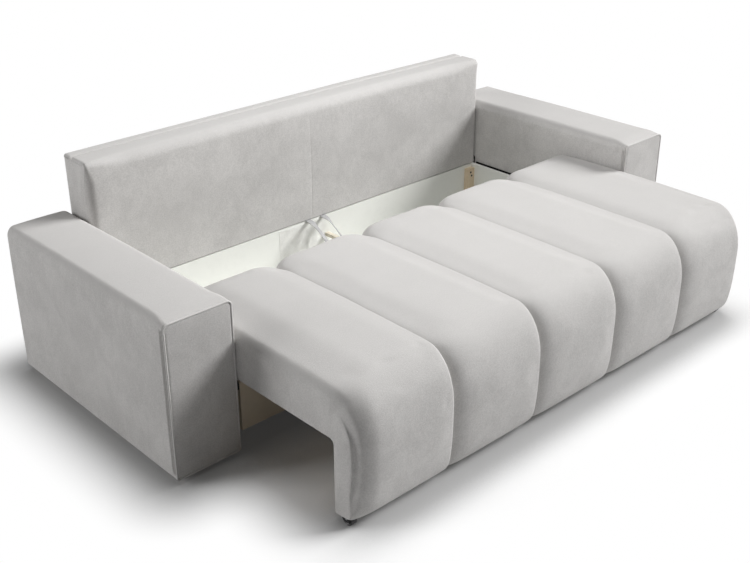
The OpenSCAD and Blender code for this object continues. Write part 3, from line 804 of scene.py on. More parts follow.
def settle(piece: bpy.types.Object, finish: Finish, body: str, node: str, finer: bool = True) -> None:
    """Dresses a new piece and puts it in the place of its solid.

    Args:
        piece: The piece.
        finish: Its finish.
        body: The body it moves with.
        node: The solid it stands for.
        finer: Whether each face is divided once more.
    """
    if finer:
        smooth = piece.modifiers.new("finer", "SUBSURF")
        smooth.levels = 1
        smooth.render_levels = 1
    finish.dress(piece)
    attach(piece, body)
    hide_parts(node)


def stacked(*values: np.ndarray | float) -> np.ndarray:
    """Joins coordinates, spread over each other's rows and columns, into points."""
    return np.stack(np.broadcast_arrays(*values), axis=-1)


def millimetres(*steps: float) -> np.ndarray:
    """Steps in millimetres as an array in metres."""
    return np.array(steps) / 1000


def mirrored(steps: np.ndarray, low: float, high: float) -> np.ndarray:
    """Places at steps inwards from both ends of a range that meet in its middle."""
    return np.concatenate([low + steps, (high - steps)[:-1][::-1]])


def mix(
    first: np.ndarray | float, second: np.ndarray | float, share: np.ndarray | float
) -> np.ndarray | float:
    """Goes from the first value to the second as the share goes from 0 to 1."""
    return first + (second - first) * share


def run(start: np.ndarray, end: np.ndarray, steps: int) -> np.ndarray:
    """Points in equal steps from start up to, but without, end."""
    return mix(start, end, np.linspace(0, 1, steps + 1)[:-1, None])


def fade(value: np.ndarray, low: float, high: float) -> np.ndarray:
    """Soft step from 0 at low to 1 at high."""
    t = np.clip((value - low) / (high - low), 0, 1)
    return t * t * (3 - 2 * t)


def within(value: np.ndarray, low: float, high: float, soft: float) -> np.ndarray:
    """Soft window of 1 between low and high, with a fade of the given length inside each end."""
    return fade(value, low, low + soft) * (1 - fade(value, high - soft, high))


def quarter(away: np.ndarray, wide: np.ndarray | float, deep: np.ndarray | float) -> np.ndarray:
    """Fall of a quarter ellipse from an edge, its reach wide and deep at the edge."""
    return deep * (1 - np.sqrt(1 - np.clip(1 - away / wide, 0, 1) ** 2))


def hump(value: np.ndarray, middle: np.ndarray | float, width: np.ndarray | float) -> np.ndarray:
    """Bell curve of height 1 with its middle and half width."""
    return np.exp(-(((value - middle) / width) ** 2))


def rise(t: np.ndarray, power: float) -> np.ndarray:
    """Rise of a superellipse arc as t goes from 0 to 1."""
    return np.sin(np.pi / 2 * t) ** (2 / power)


def sink(t: np.ndarray, power: float) -> np.ndarray:
    """Fall of a superellipse arc as t goes from 0 to 1."""
    return np.abs(np.cos(np.pi / 2 * t)) ** (2 / power)


def waves(points: np.ndarray, size: float, seed: int) -> np.ndarray:
    """Smooth irregular waves through space, from about -1 to 1.

    Args:
        points: Places, with three values in the last axis.
        size: Length of the longest wave.
        seed: Chooses the pattern.

    Returns:
        The wave height at each place.
    """
    chooser = np.random.default_rng(seed)
    total = np.zeros(points.shape[:-1])
    for step in range(7):
        turn = chooser.normal(size=3)
        turn *= math.tau / (size * 0.75**step) / np.linalg.norm(turn)
        total += 0.8**step * np.sin(points @ turn + chooser.uniform(0, math.tau))
    return total / 2.4


@dataclass(frozen=True)
class Air:
    """A short cloth simulation that blows a cover up from inside."""

    pressure: float
    cap: float
    frames: int = 14
    levels: int = 10
    cloth: Sequence[tuple[str, float]] = (
        ("quality", 4),
        ("mass", 0.25),
        ("tension_stiffness", 30),
        ("compression_stiffness", 12),
        ("shear_stiffness", 12),
        ("bending_stiffness", 1.5),
        ("air_damping", 2),
        ("pin_stiffness", 1),
    )

    def swell(self, obj: bpy.types.Object, held: Callable, kept: Callable) -> None:
        """Runs the simulation and keeps its result.

        Args:
            obj: The cover, a mesh of fine quads.
            held: Gives for each point how firmly it is held, from 0 to 1.
            kept: Gives for each point the share of its movement that is kept.
        """
        before = positions(obj)
        group = obj.vertex_groups.new(name="held")
        firm = np.round(held(before) * self.levels)
        for level in range(1, self.levels + 1):
            group.add(np.flatnonzero(firm == level).tolist(), level / self.levels, "REPLACE")
        cloth = obj.modifiers.new("air", "CLOTH")
        for name, value in self.cloth:
            setattr(cloth.settings, name, value)
        cloth.settings.vertex_group_mass = "held"
        cloth.settings.use_pressure = True
        cloth.settings.uniform_pressure_force = self.pressure
        cloth.settings.effector_weights.gravity = 0
        cloth.collision_settings.use_collision = False
        cloth.point_cache.frame_start = 1
        cloth.point_cache.frame_end = self.frames
        for step in range(1, self.frames + 1):
            bpy.context.scene.frame_set(step)
        ready = obj.evaluated_get(bpy.context.evaluated_depsgraph_get())
        move = positions(ready) - before
        length = np.linalg.norm(move, axis=1, keepdims=True)
        LOG.info("%s swelled by %.1f mm at most", obj.name, 1000 * length.max())
        obj.modifiers.remove(cloth)
        obj.vertex_groups.remove(group)
        share = np.minimum(1, self.cap / np.maximum(length, 1e-9)) * kept(before)[:, None]
        set_positions(obj, before + move * share)
        bpy.context.scene.frame_set(1)


# Soft pieces


@dataclass
class SeatCushion:
    """Waterfall cushion of five channels, from its rear edge over the top and down to the hem.

    A fall or lift is a depth at an edge and its reach inwards, and an edge or corner is a reach
    and its depth. Other pairs are a size on the top and on the front, or the ends of a fade.
    """

    half: float = 0.978
    rear: float = 0.1485
    apron: float = -0.6475
    front: float = -0.7565
    under: float = 0.2745
    top: float = 0.4505
    hem_gap: float = 0.025
    hem_deep: float = 0.060
    hem_lift: Pair = (0.005, 0.009)
    hem_soft: Pair = (0.026, 0.060)
    channels: int = 5
    groove: float = 0.058
    seam: float = 0.0026
    end_less: float = 0.013
    fillet: float = 0.018
    frame_half: float = 0.964
    lining_gap: float = 0.001

    crown: float = 0.004
    nose: float = 0.122
    nose_power: float = 2.1
    belly: float = 0.002
    rear_wide: float = 0.058
    rear_deep: float = 0.070
    rear_power: float = 2.2
    rear_foot: float = 0.006
    rear_give: float = 0.35
    pull_give: float = 0.35
    knee: float = 0.034

    foot_rows: int = 3
    wall_rows: int = 6
    turn_rows: int = 14
    bed_rows: int = 54
    nose_rows: int = 26
    fall_rows: int = 24
    across: int = 15
    steps: Sequence[float] = (
        0, 1.2, 2.6, 4.5, 7, 10, 13.5, 17.5, 22, 27, 33, 40, 49, 60, 74, 90, 108, 128, 150, 172,
    )
    least_step: float = 0.008

    top_slope_fall: Pair = (0.0145, 0.036)
    front_slope_fall: Pair = (0.036, 0.026)
    right_arc: Pair = (0.009, 0.010)
    right_tail: Pair = (0.0012, 0.0030)
    right_reach: float = 0.019
    right_end: Pair = (0.015, 0.020)
    top_end_fall: Pair = (0.020, 0.15)
    top_end_power: float = 1.5
    top_end_edge: Pair = (0.032, 0.030)
    front_end_fall: Pair = (0.0355, 0.085)
    front_end_power: float = 1.8
    front_end_edge: Pair = (0.012, 0.011)

    pinch_height: float = 0.424
    pinch: float = 0.014
    crease_bow: float = 0.013
    crease_low: float = 0.03
    crease_long: float = 0.40
    crease_soft: float = 0.12
    crease_wide: float = 0.0075
    crease_deep: float = 0.013
    rear_corner: Pair = (0.095, 0.058)
    rear_right_corner: Pair = (0.050, 0.030)
    pull_rise: Pair = (0.335, 0.385)
    pull_way: Pair = (0.19, 0.02)
    pull_high: float = 0.4
    unevenness: float = 0.0009

    bulge: float = 0.0038
    bulge_most: float = 0.0045
    fan: Pair = (-0.7115, 0.431)
    fan_creases: Sequence[Place] = ((0.62, 0.10, 0.0040), (0.30, 0.13, 0.0036), (0.95, 0.07, 0.0030))
    fan_wide: float = 0.0026
    fan_soft: float = 0.012
    air: Air = Air(pressure=1.2, cap=0.003)

    def __post_init__(self) -> None:
        """Counts the outline's rows up to its nose, behind it and down to the hem."""
        self.nose_start = self.foot_rows + self.wall_rows + self.turn_rows + self.bed_rows
        self.nose_end = self.nose_start + self.nose_rows
        self.outer_rows = self.nose_end + self.fall_rows

    def outline(self, dip: float) -> np.ndarray:
        """Side view of the cover from the rear foot over the top to the apron's inner bottom edge.

        Args:
            dip: How far it lies below a crest.

        Returns:
            Points as rows of Y and Z.
        """
        top, front, rear = self.top - dip, self.front + dip, self.rear - self.rear_give * dip
        belly, nose, hem = self.under - self.belly, self.nose - 0.5 * dip, self.apron - self.hem_deep
        foot = np.array([self.rear - self.rear_foot, self.under])
        knee = np.array([mix(self.rear, rear, 0.6), self.under + self.knee])
        shoulder = np.array([rear, top - self.rear_deep])
        t = np.linspace(0, 1, self.turn_rows)
        turn_y = rear - self.rear_wide * (1 - sink(t, self.rear_power))
        turn = stacked(turn_y, shoulder[1] + (self.rear_deep - self.crown) * rise(t, self.rear_power))
        t = np.linspace(0, 1, self.bed_rows + 2)[1:-1]
        bed = stacked(mix(rear - self.rear_wide, front + nose, t), top - self.crown * (2 * t - 1) ** 2)
        t = np.linspace(0, 1, self.nose_rows)
        bow_z = mix(belly, top - self.crown, sink(t, self.nose_power))
        bow = stacked(front + nose * (1 - rise(t, self.nose_power)), bow_z)
        t = 1 - (1 - np.linspace(0, 1, self.fall_rows + 1)[1:]) ** 1.6
        fall = stacked(mix(front, hem, 1 - (1 - t**3) ** (1 / 3)), mix(belly, self.hem_gap, t))
        sole = stacked(mix(hem, self.apron, np.linspace(0, 1, self.across)[1:]), self.hem_gap)
        wall = [run(foot, knee, self.foot_rows), run(knee, shoulder, self.wall_rows)]
        return np.concatenate([*wall, turn, bed, bow, fall, sole])

    def lines(self) -> list[float]:
        """X of the left end, the grooves and the right end."""
        grooves = [(i - self.channels / 2) * 2 * self.channel_half() for i in range(1, self.channels)]
        return [-self.half, *grooves, self.half]

    def channel_half(self) -> float:
        """Half the width of an inner channel."""
        return (self.half + self.end_less) / self.channels

    def stations(self) -> np.ndarray:
        """Places across the cushion, closer together at grooves and ends.

        Returns:
            Three rows: X of each place, and its distances from the line to the left and to the right.
        """
        steps = millimetres(*self.steps)
        lines = self.lines()
        found = []
        for left, right in zip(lines, lines[1:]):
            room = (right - left) / 2
            inside = mirrored(np.append(steps[steps < room - self.least_step], room), 0, 2 * room)
            inside = inside if right == lines[-1] else inside[:-1]
            found.append(np.stack([left + inside, inside, 2 * room - inside]))
        return np.concatenate(found, axis=1)

    def dips(self, x: np.ndarray, left: np.ndarray, right: np.ndarray, front: np.ndarray) -> np.ndarray:
        """How far each place lies below a crest: full right sides, long left slopes and rounded ends.

        Args:
            x: X of each place.
            left: Its distance from the line to the left.
            right: Its distance from the line to the right.
            front: A column with 0 for rows on the top and 1 for rows on the front.

        Returns:
            The dips, one row for each row of the outline.
        """
        (top_deep, top_reach), (front_deep, front_reach) = self.top_slope_fall, self.front_slope_fall
        first, last = x < self.lines()[1], x >= self.lines()[-2]
        slope = mix(top_deep * np.exp(-left / top_reach), front_deep * np.exp(-left / front_reach), front)
        arc, tail, end = (mix(*pair, front) for pair in (self.right_arc, self.right_tail, self.right_end))
        full = quarter(right, arc, arc) + tail * np.exp(-right / self.right_reach)
        sides = np.where(first, 0.0, slope) + np.where(last, 0.0, full)
        near = np.minimum(np.where(first, 1.0, left), np.where(last, 1.0, right))
        foot = np.where(left < right, mix(top_deep, front_deep, front), arc + tail)
        sides = sides + (self.groove - foot) * np.maximum(0.0, 1 - near / self.seam) ** 1.5
        ends = []
        for (deep, reach), power, edge in (
            (self.top_end_fall, self.top_end_power, self.top_end_edge),
            (self.front_end_fall, self.front_end_power, self.front_end_edge),
        ):
            ends.append(deep * np.clip(1 - left / reach, 0, 1) ** power + quarter(left, *edge))
        sides = sides + np.where(first, mix(*ends, front), 0.0)
        return sides + np.where(last, quarter(right, end, end), 0.0)

    def corner(self, x: np.ndarray, z: np.ndarray, front: np.ndarray, nose: np.ndarray) -> np.ndarray:
        """Pulled-in front left corner: a pinch near the top and a crease that bows down to the hem.

        Args:
            x: X of each place.
            z: A column with the height of each row.
            front: A column with 0 for rows on the top and 1 for rows on the front.
            nose: A column that marks the rows from the nose on.

        Returns:
            The extra dip.
        """
        away = x + self.half
        pinch = self.pinch * hump(away, 0.0, self.pinch) * hump(z, self.pinch_height, self.pinch) * nose
        bow = self.crease_bow * np.sin(np.pi * np.clip((z - self.crease_low) / self.crease_long, 0, 1))
        crease = hump(away, bow, self.crease_wide) * front * fade(z, self.crease_low, self.crease_soft)
        return pinch + self.crease_deep * crease

    def surface(self, probe: float = 0.02) -> np.ndarray:
        """The long surface over all channels.

        Args:
            probe: The dip at which each row's way inwards is measured.

        Returns:
            Its grid, with a row for each point of the outline.
        """
        base = self.outline(0.0)
        slope = (self.outline(probe) - base) / probe
        (y, z), (slope_y, slope_z) = base.T[..., None], slope.T[..., None]
        rows = np.arange(len(base))[:, None]
        x, left, right = self.stations()
        near, away = np.minimum(left, right), self.half - np.abs(x)
        front = fade(rows, self.nose_start - 4, self.nose_start + 16) * (rows <= self.outer_rows)
        dip = self.dips(x, left, right, front) + self.corner(x, z, front, rows > self.nose_start)
        pull = quarter(near, *self.rear_corner)
        pull = np.where(x > self.half - self.channel_half(), quarter(right, *self.rear_right_corner), pull)
        along_top = fade(y, self.rear - self.pull_way[0], self.rear - self.pull_way[1])
        part = np.where(rows < self.foot_rows + self.wall_rows, fade(z, *self.pull_rise), along_top)
        part = part * (rows < self.nose_start)
        down = self.pull_give * pull * part**2 * (z > self.pull_high)
        hem = (rows > self.nose_end) * (1 - fade(z, *self.hem_soft))
        lift = self.hem_lift[0] * np.exp(-near / self.hem_lift[1]) * hem
        grid = stacked(x, y + slope_y * dip - pull * part, z + slope_z * dip - down + lift)
        soft = np.clip(away / 0.03, 0, 1) * (slope_y**2 + slope_z**2 > 0.3) * (slope_z != 0)
        grid[..., 2] += self.unevenness * waves(grid, 0.34, 3) * soft
        return grid

    def inner_line(self, count: int) -> np.ndarray:
        """Inner edge of an end panel from the rear foot to the apron's bottom, with a small fillet.

        Args:
            count: Number of points on each of the three stretches.

        Returns:
            Points as rows of Y and Z, in equal steps of the three stretches.
        """
        t = np.linspace(0, 1, count)
        r = self.fillet
        level = stacked(mix(self.rear - self.rear_foot, self.apron + r, t), self.under)
        turn = stacked(self.apron + r * (1 - rise(t, 2)), self.under - r * (1 - sink(t, 2)))
        down = stacked(self.apron, mix(self.under - r, self.hem_gap, t))
        return np.concatenate([level, turn, down])

    def end_panel(self, edge: np.ndarray, count: int = 200) -> np.ndarray:
        """Bulged end panel between the cover's edge and the inner line.

        Args:
            edge: Points of the cover at that end.
            count: Number of points on each stretch of the inner line.

        Returns:
            The panel's grid.
        """
        line = self.inner_line(count)
        marks = np.concatenate([
            np.linspace(0, count - 1, self.nose_start, endpoint=False),
            np.linspace(count - 1, 2 * count - 1, self.nose_rows, endpoint=False),
            np.linspace(2 * count - 1, 3 * count - 1, self.fall_rows),
        ])
        v = np.linspace(0, 1, self.across)
        rows = np.arange(self.outer_rows)[:, None]
        y, z = (
            mix(outer[: self.outer_rows, None], np.interp(marks, np.arange(len(line)), inner)[:, None], v)
            for outer, inner in zip(edge.T[1:], line.T)
        )
        grid = stacked(edge[0, 0], y, z)
        full = np.sin(np.pi * v) ** 0.9 * fade(rows, 0, 12)
        full = full * (1 - 0.6 * fade(rows, self.outer_rows - 14, self.outer_rows - 1))
        out = self.bulge * full * (1 + 0.35 * waves(grid, 0.16, 11))
        for turn, reach, depth in self.fan_creases:
            away_y, away_z = y - self.fan[0], z - self.fan[1]
            along = away_y * math.cos(turn) - away_z * math.sin(turn)
            side = away_y * math.sin(turn) + away_z * math.cos(turn)
            ends = fade(along, 0.0, self.fan_soft) * (1 - fade(along, reach * 0.5, reach))
            out -= depth * hump(side, 0.0, self.fan_wide) * ends
        grid[..., 0] = np.sign(edge[0, 0]) * (self.half + out * (v > 0) * (v < 1))
        return grid

    def lining(self, count: int = 12) -> np.ndarray:
        """Lining under the cushion and behind its apron, just inside the boards that cover it.

        Args:
            count: Number of points on each stretch of the inner line.

        Returns:
            The lining's grid.
        """
        line = self.inner_line(count)
        gap, edge = self.lining_gap, self.frame_half
        x = np.array([-self.half, -edge - gap, -edge + gap, 0, edge - gap, edge + gap, self.half])
        inside = np.abs(x) < edge
        sharp = line.copy()
        sharp[count : 2 * count] = (self.apron, self.under)
        sharp += (sharp[:, 1:] > self.hem_soft[1]) * np.array([-gap, gap])
        return stacked(x, *(mix(a[:, None], b[:, None], inside) for a, b in zip(line.T, sharp.T)))

    def held(self, points: np.ndarray) -> np.ndarray:
        """How firmly the simulation holds each point: seams, end edges, hem and lining fully.

        Args:
            points: Points of the cover.

        Returns:
            A number from 0 to 1 for each.
        """
        x, y, z = points.T
        seams = np.min([np.abs(x - line) for line in self.lines()[1:-1]], axis=0) < 0.0055
        hem = z < self.hem_gap + 0.012
        lining = (z < self.under + 0.004) & (y > self.apron - 0.002)
        return np.maximum(seams | hem | lining, 0.8 * (np.abs(np.abs(x) - self.half) < 0.0006))

    def kept(self, points: np.ndarray) -> np.ndarray:
        """Share of the simulated movement that each point keeps: little near grooves and ends.

        Args:
            points: Points of the cover.

        Returns:
            A number from 0 to 1 for each.
        """
        x = points[:, 0]
        near = np.min([np.abs(x - line) for line in self.lines()], axis=0)
        end = fade(x + self.half, 0.05, 0.16)
        return fade(near, 0.004, 0.075) * fade(points[:, 2], 0.03, 0.12) * end

    def build(self) -> list[bpy.types.Object]:
        """Makes the cushion and keeps its ends clear of the arms.

        Returns:
            The new piece.
        """
        grid = self.surface()
        patches = Patches().add(grid, self.end_panel(grid[:, 0]), self.end_panel(grid[:, -1]), self.lining())
        cushion = patches.build("seat_cushion_soft")
        self.air.swell(cushion, self.held, self.kept)
        points = positions(cushion)
        points[:, 0] = np.clip(points[:, 0], -self.half - self.bulge_most, self.half + self.bulge_most)
        set_positions(cushion, points)
        settle(cushion, VELOUR, "seat", "seat_cushion")
        return [cushion]


@dataclass
class Backrest:
    """Backrest with a front padding in two fields and a rear panel."""

    half: float = 0.979
    front: float = 0.6055
    rear: float = 0.7565
    split: float = 0.7075
    split_gap: float = 0.00015
    bottom: float = 0.2738
    top: float = 0.753
    crest: float = 0.0045
    edge_front: float = 0.022
    edge_softer: float = 0.022
    edge_rear: float = 0.005
    edge_low: float = 0.002
    sole_lift: float = 0.002
    end_round: float = 0.010
    end_softer: float = 0.022
    fullness: float = 0.004
    face_near: float = 0.012
    seam_wide: float = 0.0024
    seam_deep: Pair = (0.0008, 0.0002)
    seam_top: float = 0.955
    seam_bend: float = 0.003
    unevenness: float = 0.0008
    crease: float = 0.001
    end_full: float = 0.0024
    end_steps: Sequence[float] = (0, 0.4, 1.4, 3, 5, 7.5, 10.5, 14, 19, 26, 35)
    seam_steps: Sequence[float] = (30, 22, 15.5, 10.5, 7, 4.6, 2.8, 1.4, 0)
    panel_steps: Sequence[float] = (0, 0.03, 0.06, 0.09, 0.12, 0.155, 0.2)

    def outline(self, inset: float, rear_side: bool, softer: float = 0.0) -> np.ndarray:
        """Side view of one half of the slab, from the split on top to the split below.

        Args:
            inset: How far it is drawn in.
            rear_side: Whether it is the rear panel.
            softer: How much of the wider rounding the front top edge has.

        Returns:
            Points as rows of Y and Z.
        """
        face = self.rear - inset if rear_side else self.front + inset
        way = -1.0 if rear_side else 1.0
        top, bottom = self.top - inset, self.bottom + inset
        high = (self.edge_rear if rear_side else self.edge_front + self.edge_softer * softer) - inset
        low = self.edge_low - inset * 0.8
        gap = self.split - way * self.split_gap
        start = np.array([gap, top - 2 * self.split_gap])
        crest = run(start, np.array([face + way * high, top]), 4 if rear_side else 8)
        crest[1:, 1] = top
        a = np.linspace(0, np.pi / 2, 12)
        turn = stacked(face + way * high * (1 - np.sin(a)), top - high * (1 - np.cos(a)))
        wall = stacked(face, mix(top - high, bottom + low, np.linspace(0, 1, 36)[1:-1]))
        turn_low = stacked(face + way * low * (1 - np.cos(a[::2])), bottom + low * (1 - np.sin(a[::2])))
        t = np.linspace(0, 1, 5 if rear_side else 8)[1:]
        sole = stacked(mix(face + way * low, gap, t), bottom)
        sole[-1, 1] += self.sole_lift
        return np.concatenate([crest, turn, wall, turn_low, sole])

    def stations(self) -> np.ndarray:
        """Places across the backrest, closer at the ends and at the middle seam.

        Returns:
            The X places.
        """
        field = np.linspace(0.047, self.half - 0.040, 62)
        steps = [millimetres(*self.end_steps), field, self.half - millimetres(*self.seam_steps)]
        return mirrored(np.concatenate(steps), -self.half, self.half)

    def slab(self, rear_side: bool, probe: float = 0.004) -> Patches:
        """The points of one half of the slab.

        Args:
            rear_side: Whether it is the rear panel.
            probe: The inset at which each row's way inwards is measured.

        Returns:
            The grids.
        """
        base = self.outline(0.0, rear_side)
        slope = (self.outline(probe, rear_side) - base) / probe
        softer = self.outline(0.0, rear_side, 1.0) - base
        (y, z), (slope_y, slope_z), (softer_y, softer_z) = (a.T[..., None] for a in (base, slope, softer))
        rows = np.arange(len(base))[:, None]
        x = self.stations()
        away = self.half - np.abs(x)
        wide = fade(self.split - y, 0.02, 0.09) * fade(z, self.bottom, self.bottom + 0.05)
        wide = wide * (1 - fade(z, self.top - 0.08, self.top - 0.02))
        radius = self.end_round + self.end_softer * wide * np.where(x < 0, 1.0, 0.25)
        inset = quarter(away, radius, radius)
        height = (z - self.bottom) / (self.top - self.bottom)
        on_face = np.abs(y - (self.rear if rear_side else self.front)) < self.face_near
        if not rear_side:
            seen = (height < self.seam_top) & (rows > 10)
            inset += mix(*self.seam_deep, height) * hump(x, 0.0, self.seam_wide) * seen
        body = np.clip(4.2 * height * (1 - height), 0, 1) ** 0.8 * on_face
        fill = np.clip(away / 0.10, 0, 1) ** 0.5
        middle = 1 - 0.55 * np.exp(-np.abs(x) / 0.05)
        outwards = 0.6 * self.fullness if rear_side else -self.fullness
        swollen = outwards * (body * fill * middle - on_face) * (away > 0.001)
        edge = fade(away, 0.02, 0.16)
        bend = self.seam_bend * np.sin(np.pi * np.clip(height, 0, 1)) * hump(x, 0.0, 0.06)
        y_out = y + slope_y * inset + softer_y * edge + swollen
        grid = stacked(x + bend, y_out, z + slope_z * inset + softer_z * edge)
        grid[..., 1] += self.unevenness * waves(grid, 0.42, 5) * on_face * fill
        grid[..., 2] += self.crest * (1 - fade(x, 0.2, self.half)) * fade(z, 0.55, self.top)
        crease = 0.0 if rear_side else self.crease
        ends = [self.end_panel(grid[:, column], crease) for column in (0, -1)]
        return Patches().add(grid, *ends, np.stack([grid[0], grid[-1]]))

    def end_panel(self, edge: np.ndarray, crease: float) -> np.ndarray:
        """End panel of the slab, a little full, with a crease behind its edge that widens downwards.

        Args:
            edge: Points of the slab at that end.
            crease: Depth of the crease.

        Returns:
            The panel's grid.
        """
        v = np.concatenate([self.panel_steps, np.linspace(0.27, 1, 8)])
        y, z = edge[:, 1:2], edge[:, 2:]
        rows = np.arange(len(edge))[:, None]
        drop = fade(self.top - z, 0.012, 0.22)
        out = self.end_full * np.clip(v * 5, 0, 1)
        out = out - crease * drop * hump(v, 0.075 + 0.045 * drop, 0.03 + 0.035 * drop)
        out = out * within(rows, 0, len(edge) - 1, 8) * (v > 0)
        inner_z = np.clip(z, z[-1], z[0])
        return stacked(np.sign(edge[0, 0]) * (self.half + out), mix(y, y[0], v), mix(z, inner_z, v))

    def build(self) -> list[bpy.types.Object]:
        """Makes the front padding and the rear panel and dresses what is inside.

        Returns:
            The two new pieces.
        """
        front = self.slab(False).build("backrest_front_padding")
        rear = self.slab(True).build("backrest_rear_panel")
        for pad, node in ((front, "backrest_cushion"), (rear, "backrest_rear_pad")):
            settle(pad, VELOUR, "backrest", node)
        PINE.dress("backrest_frame")
        BELT.dress("backrest_webbing")
        ZINC.dress("hinge_plate_left", "hinge_plate_right", "hinge_screws")
        return [front, rear]


@dataclass
class Arm:
    """One box arm: padded cover, framed front panel and piping."""

    side: Side
    width: float = 0.241
    height: float = 0.554
    depth: float = 0.957
    front: float = -0.2065
    centre: float = 1.1045
    gap: float = 0.018
    outer_round: float = 0.020
    inner_round: float = 0.016
    low_round: float = 0.012
    outer_across: float = 0.008
    outer_down: float = 0.016
    inner_softer: float = 0.018
    rear_round: float = 0.008
    lift: float = 0.0065
    crown: float = 0.003
    bulge: float = 0.004
    unevenness: float = 0.0009
    front_edge: float = 0.0055
    front_full: float = -0.0050
    stitches: Sequence[float] = (0.0083, 0.0155, 0.0225)
    stitch: Pair = (0.0046, 0.0013)
    ridges: Sequence[float] = (0.0119, 0.0190)
    ridge: Pair = (0.0016, 0.0018)
    top_seam: Place = (0.0026, 0.0085, 0.0014)
    piping: float = 0.0032
    piping_in: float = 0.0022
    piping_back: float = 0.0042
    welt_steps: Sequence[float] = (28.5, 31, 35, 40, 47, 56, 66, 77)
    rear_steps: Sequence[float] = (28, 20, 14, 10, 7.6, 5.4, 3.6, 2.1, 0.8, 0)
    panel_steps: Sequence[float] = (0, 0.03, 0.055, 0.075, 0.1, 0.14, 0.2, 0.3, 0.42, 0.55, 0.7, 0.85, 1)

    def outline(self, inset: float, softer: float = 0.0) -> np.ndarray:
        """Front view of the arm, closed, from the inner foot up and over to the outer foot.

        Args:
            inset: How far it is drawn in.
            softer: How much of the wider rounding behind the front edge the top corners have.

        Returns:
            Points as rows of X and Z, with X counted outwards from the arm's middle.
        """
        w, top, low = self.width / 2, self.height, self.gap
        foot = np.full(2, self.low_round)
        inner = np.full(2, self.inner_round + self.inner_softer * softer)
        outer = self.outer_round + softer * np.array([self.outer_across, self.outer_down])
        corners = (
            ((-w, low), (1, 1), foot, 270, 8, 46),
            ((-w, top), (1, -1), inner, 180, 10, 20),
            ((w, top), (-1, -1), outer, 90, 14, 44),
            ((w, low), (-1, 1), foot, 0, 8, 18),
        )
        arcs = []
        for corner, way, radii, start, steps, _ in corners:
            size = np.maximum(radii - inset, 0.002)
            angles = np.radians(np.linspace(start, start - 90, steps))
            middle = np.array(corner) + np.array(way) * (size + inset)
            arcs.append(middle + size * stacked(np.cos(angles), np.sin(angles)))
        path = []
        for arc, ahead, (*_, steps) in zip(arcs, arcs[1:] + arcs[:1], corners):
            path += [arc, run(arc[-1], ahead[0], steps)[1:]]
        return np.concatenate(path)

    def place(self, shape: np.ndarray, y: np.ndarray | float) -> np.ndarray:
        """Turns points of the front view, at places in depth, into points in space."""
        return stacked(self.side.value * (self.centre + shape[..., 0]), y, shape[..., 1])

    def sleeve(self, probe: float = 0.002) -> np.ndarray:
        """The sleeve round the arm, with the stitched welt behind its front edge.

        Args:
            probe: The inset at which each point's way inwards is measured.

        Returns:
            Its grid, from the front edge to the rear.
        """
        base = self.outline(0.0)
        inward = (self.outline(probe) - base) / probe
        (x, z), half, sign = base.T, self.width / 2, self.side.value
        steps = np.concatenate([
            np.arange(self.front_edge, 0.027, 0.001),
            millimetres(*self.welt_steps),
            np.linspace(0.09, self.depth - 0.038, 58),
            self.depth - millimetres(*self.rear_steps),
        ])
        inset = quarter(self.depth - steps, self.rear_round, self.rear_round)
        shape = np.stack([self.outline(i, s) for i, s in zip(inset, fade(steps, 0.012, 0.10))])
        steps = steps[:, None]
        sides = fade(np.abs(x), half - 0.010, half - 0.002) * fade(z, 0.03, 0.05)
        sides = sides * (1 - fade(z, self.height - 0.030, self.height - 0.012))
        stitched = self.stitch[0] * sum(hump(steps, at, self.stitch[1]) for at in self.stitches)
        stitched = stitched * (1 - 0.2 * fade(steps, 0.016, 0.022))
        ridged = self.ridge[0] * sum(hump(steps, at, self.ridge[1]) for at in self.ridges)
        seam_deep, seam_at, seam_wide = self.top_seam
        over_top = seam_deep * hump(steps, seam_at, seam_wide) * (z > 0.04)
        grid = self.place(
            shape + inward * mix(over_top, stitched - ridged, sides)[..., None], self.front + steps
        )
        soft = np.clip((self.depth - steps) / 0.1, 0, 1) * np.clip((steps - 0.03) / 0.1, 0, 1)
        flat = (np.abs(np.abs(x) - half) < 0.001) & (z > 0.08) & (z < 0.49)
        grid[..., 0] += sign * self.unevenness * waves(grid, 0.5, 21 + sign) * soft * flat * np.sign(x)
        along = fade(steps, 0.005, 0.06) * (1 - 0.55 * fade(steps, 0.45, 0.95))
        across = np.clip(x / half, -1, 1)
        grid[..., 2] += along * (self.lift + self.crown * (1 - across**2)) * fade(z, 0.38, self.height)
        full = np.sin(np.pi * np.clip(z / self.height, 0, 1)) ** 0.5 * fade(across, 0.85, 1.0)
        grid[..., 0] += sign * self.bulge * along * full
        return grid

    def panel(self, edge: np.ndarray, y: float, out: float) -> np.ndarray:
        """A panel from an edge to the upright line in its middle.

        Args:
            edge: Points of the sleeve's end.
            y: Place of that edge in depth.
            out: How far the panel comes forward of the edge.

        Returns:
            The panel's grid, from the edge inwards.
        """
        share = np.array(self.panel_steps)[:, None]
        half = self.width / 2
        x, _, z = edge.T
        swollen = fade(share, 0.0, 0.09) * 0.62 + 0.38 * np.sin(np.pi / 2 * share) ** 0.8
        core_z = np.clip(z, self.gap + half, self.height - half)
        core_x = self.side.value * self.centre
        return stacked(mix(x, core_x, share), y + out * swollen, mix(z, core_z, share))

    def tube(self, path: np.ndarray, radius: float, sides: int = 10) -> np.ndarray:
        """A round tube along a path that lies in an upright plane.

        Args:
            path: Points of its middle line.
            radius: Its radius.
            sides: Number of sides.

        Returns:
            The tube's grid.
        """
        ahead = np.gradient(path, axis=0)
        ahead /= np.maximum(np.linalg.norm(ahead, axis=1, keepdims=True), 1e-9)
        across = np.array([0.0, 1.0, 0.0])
        up = np.cross(ahead, across)[:, None]
        a = np.linspace(0, math.tau, sides, endpoint=False)[:, None]
        return path[:, None] + radius * (np.cos(a) * across + np.sin(a) * up)

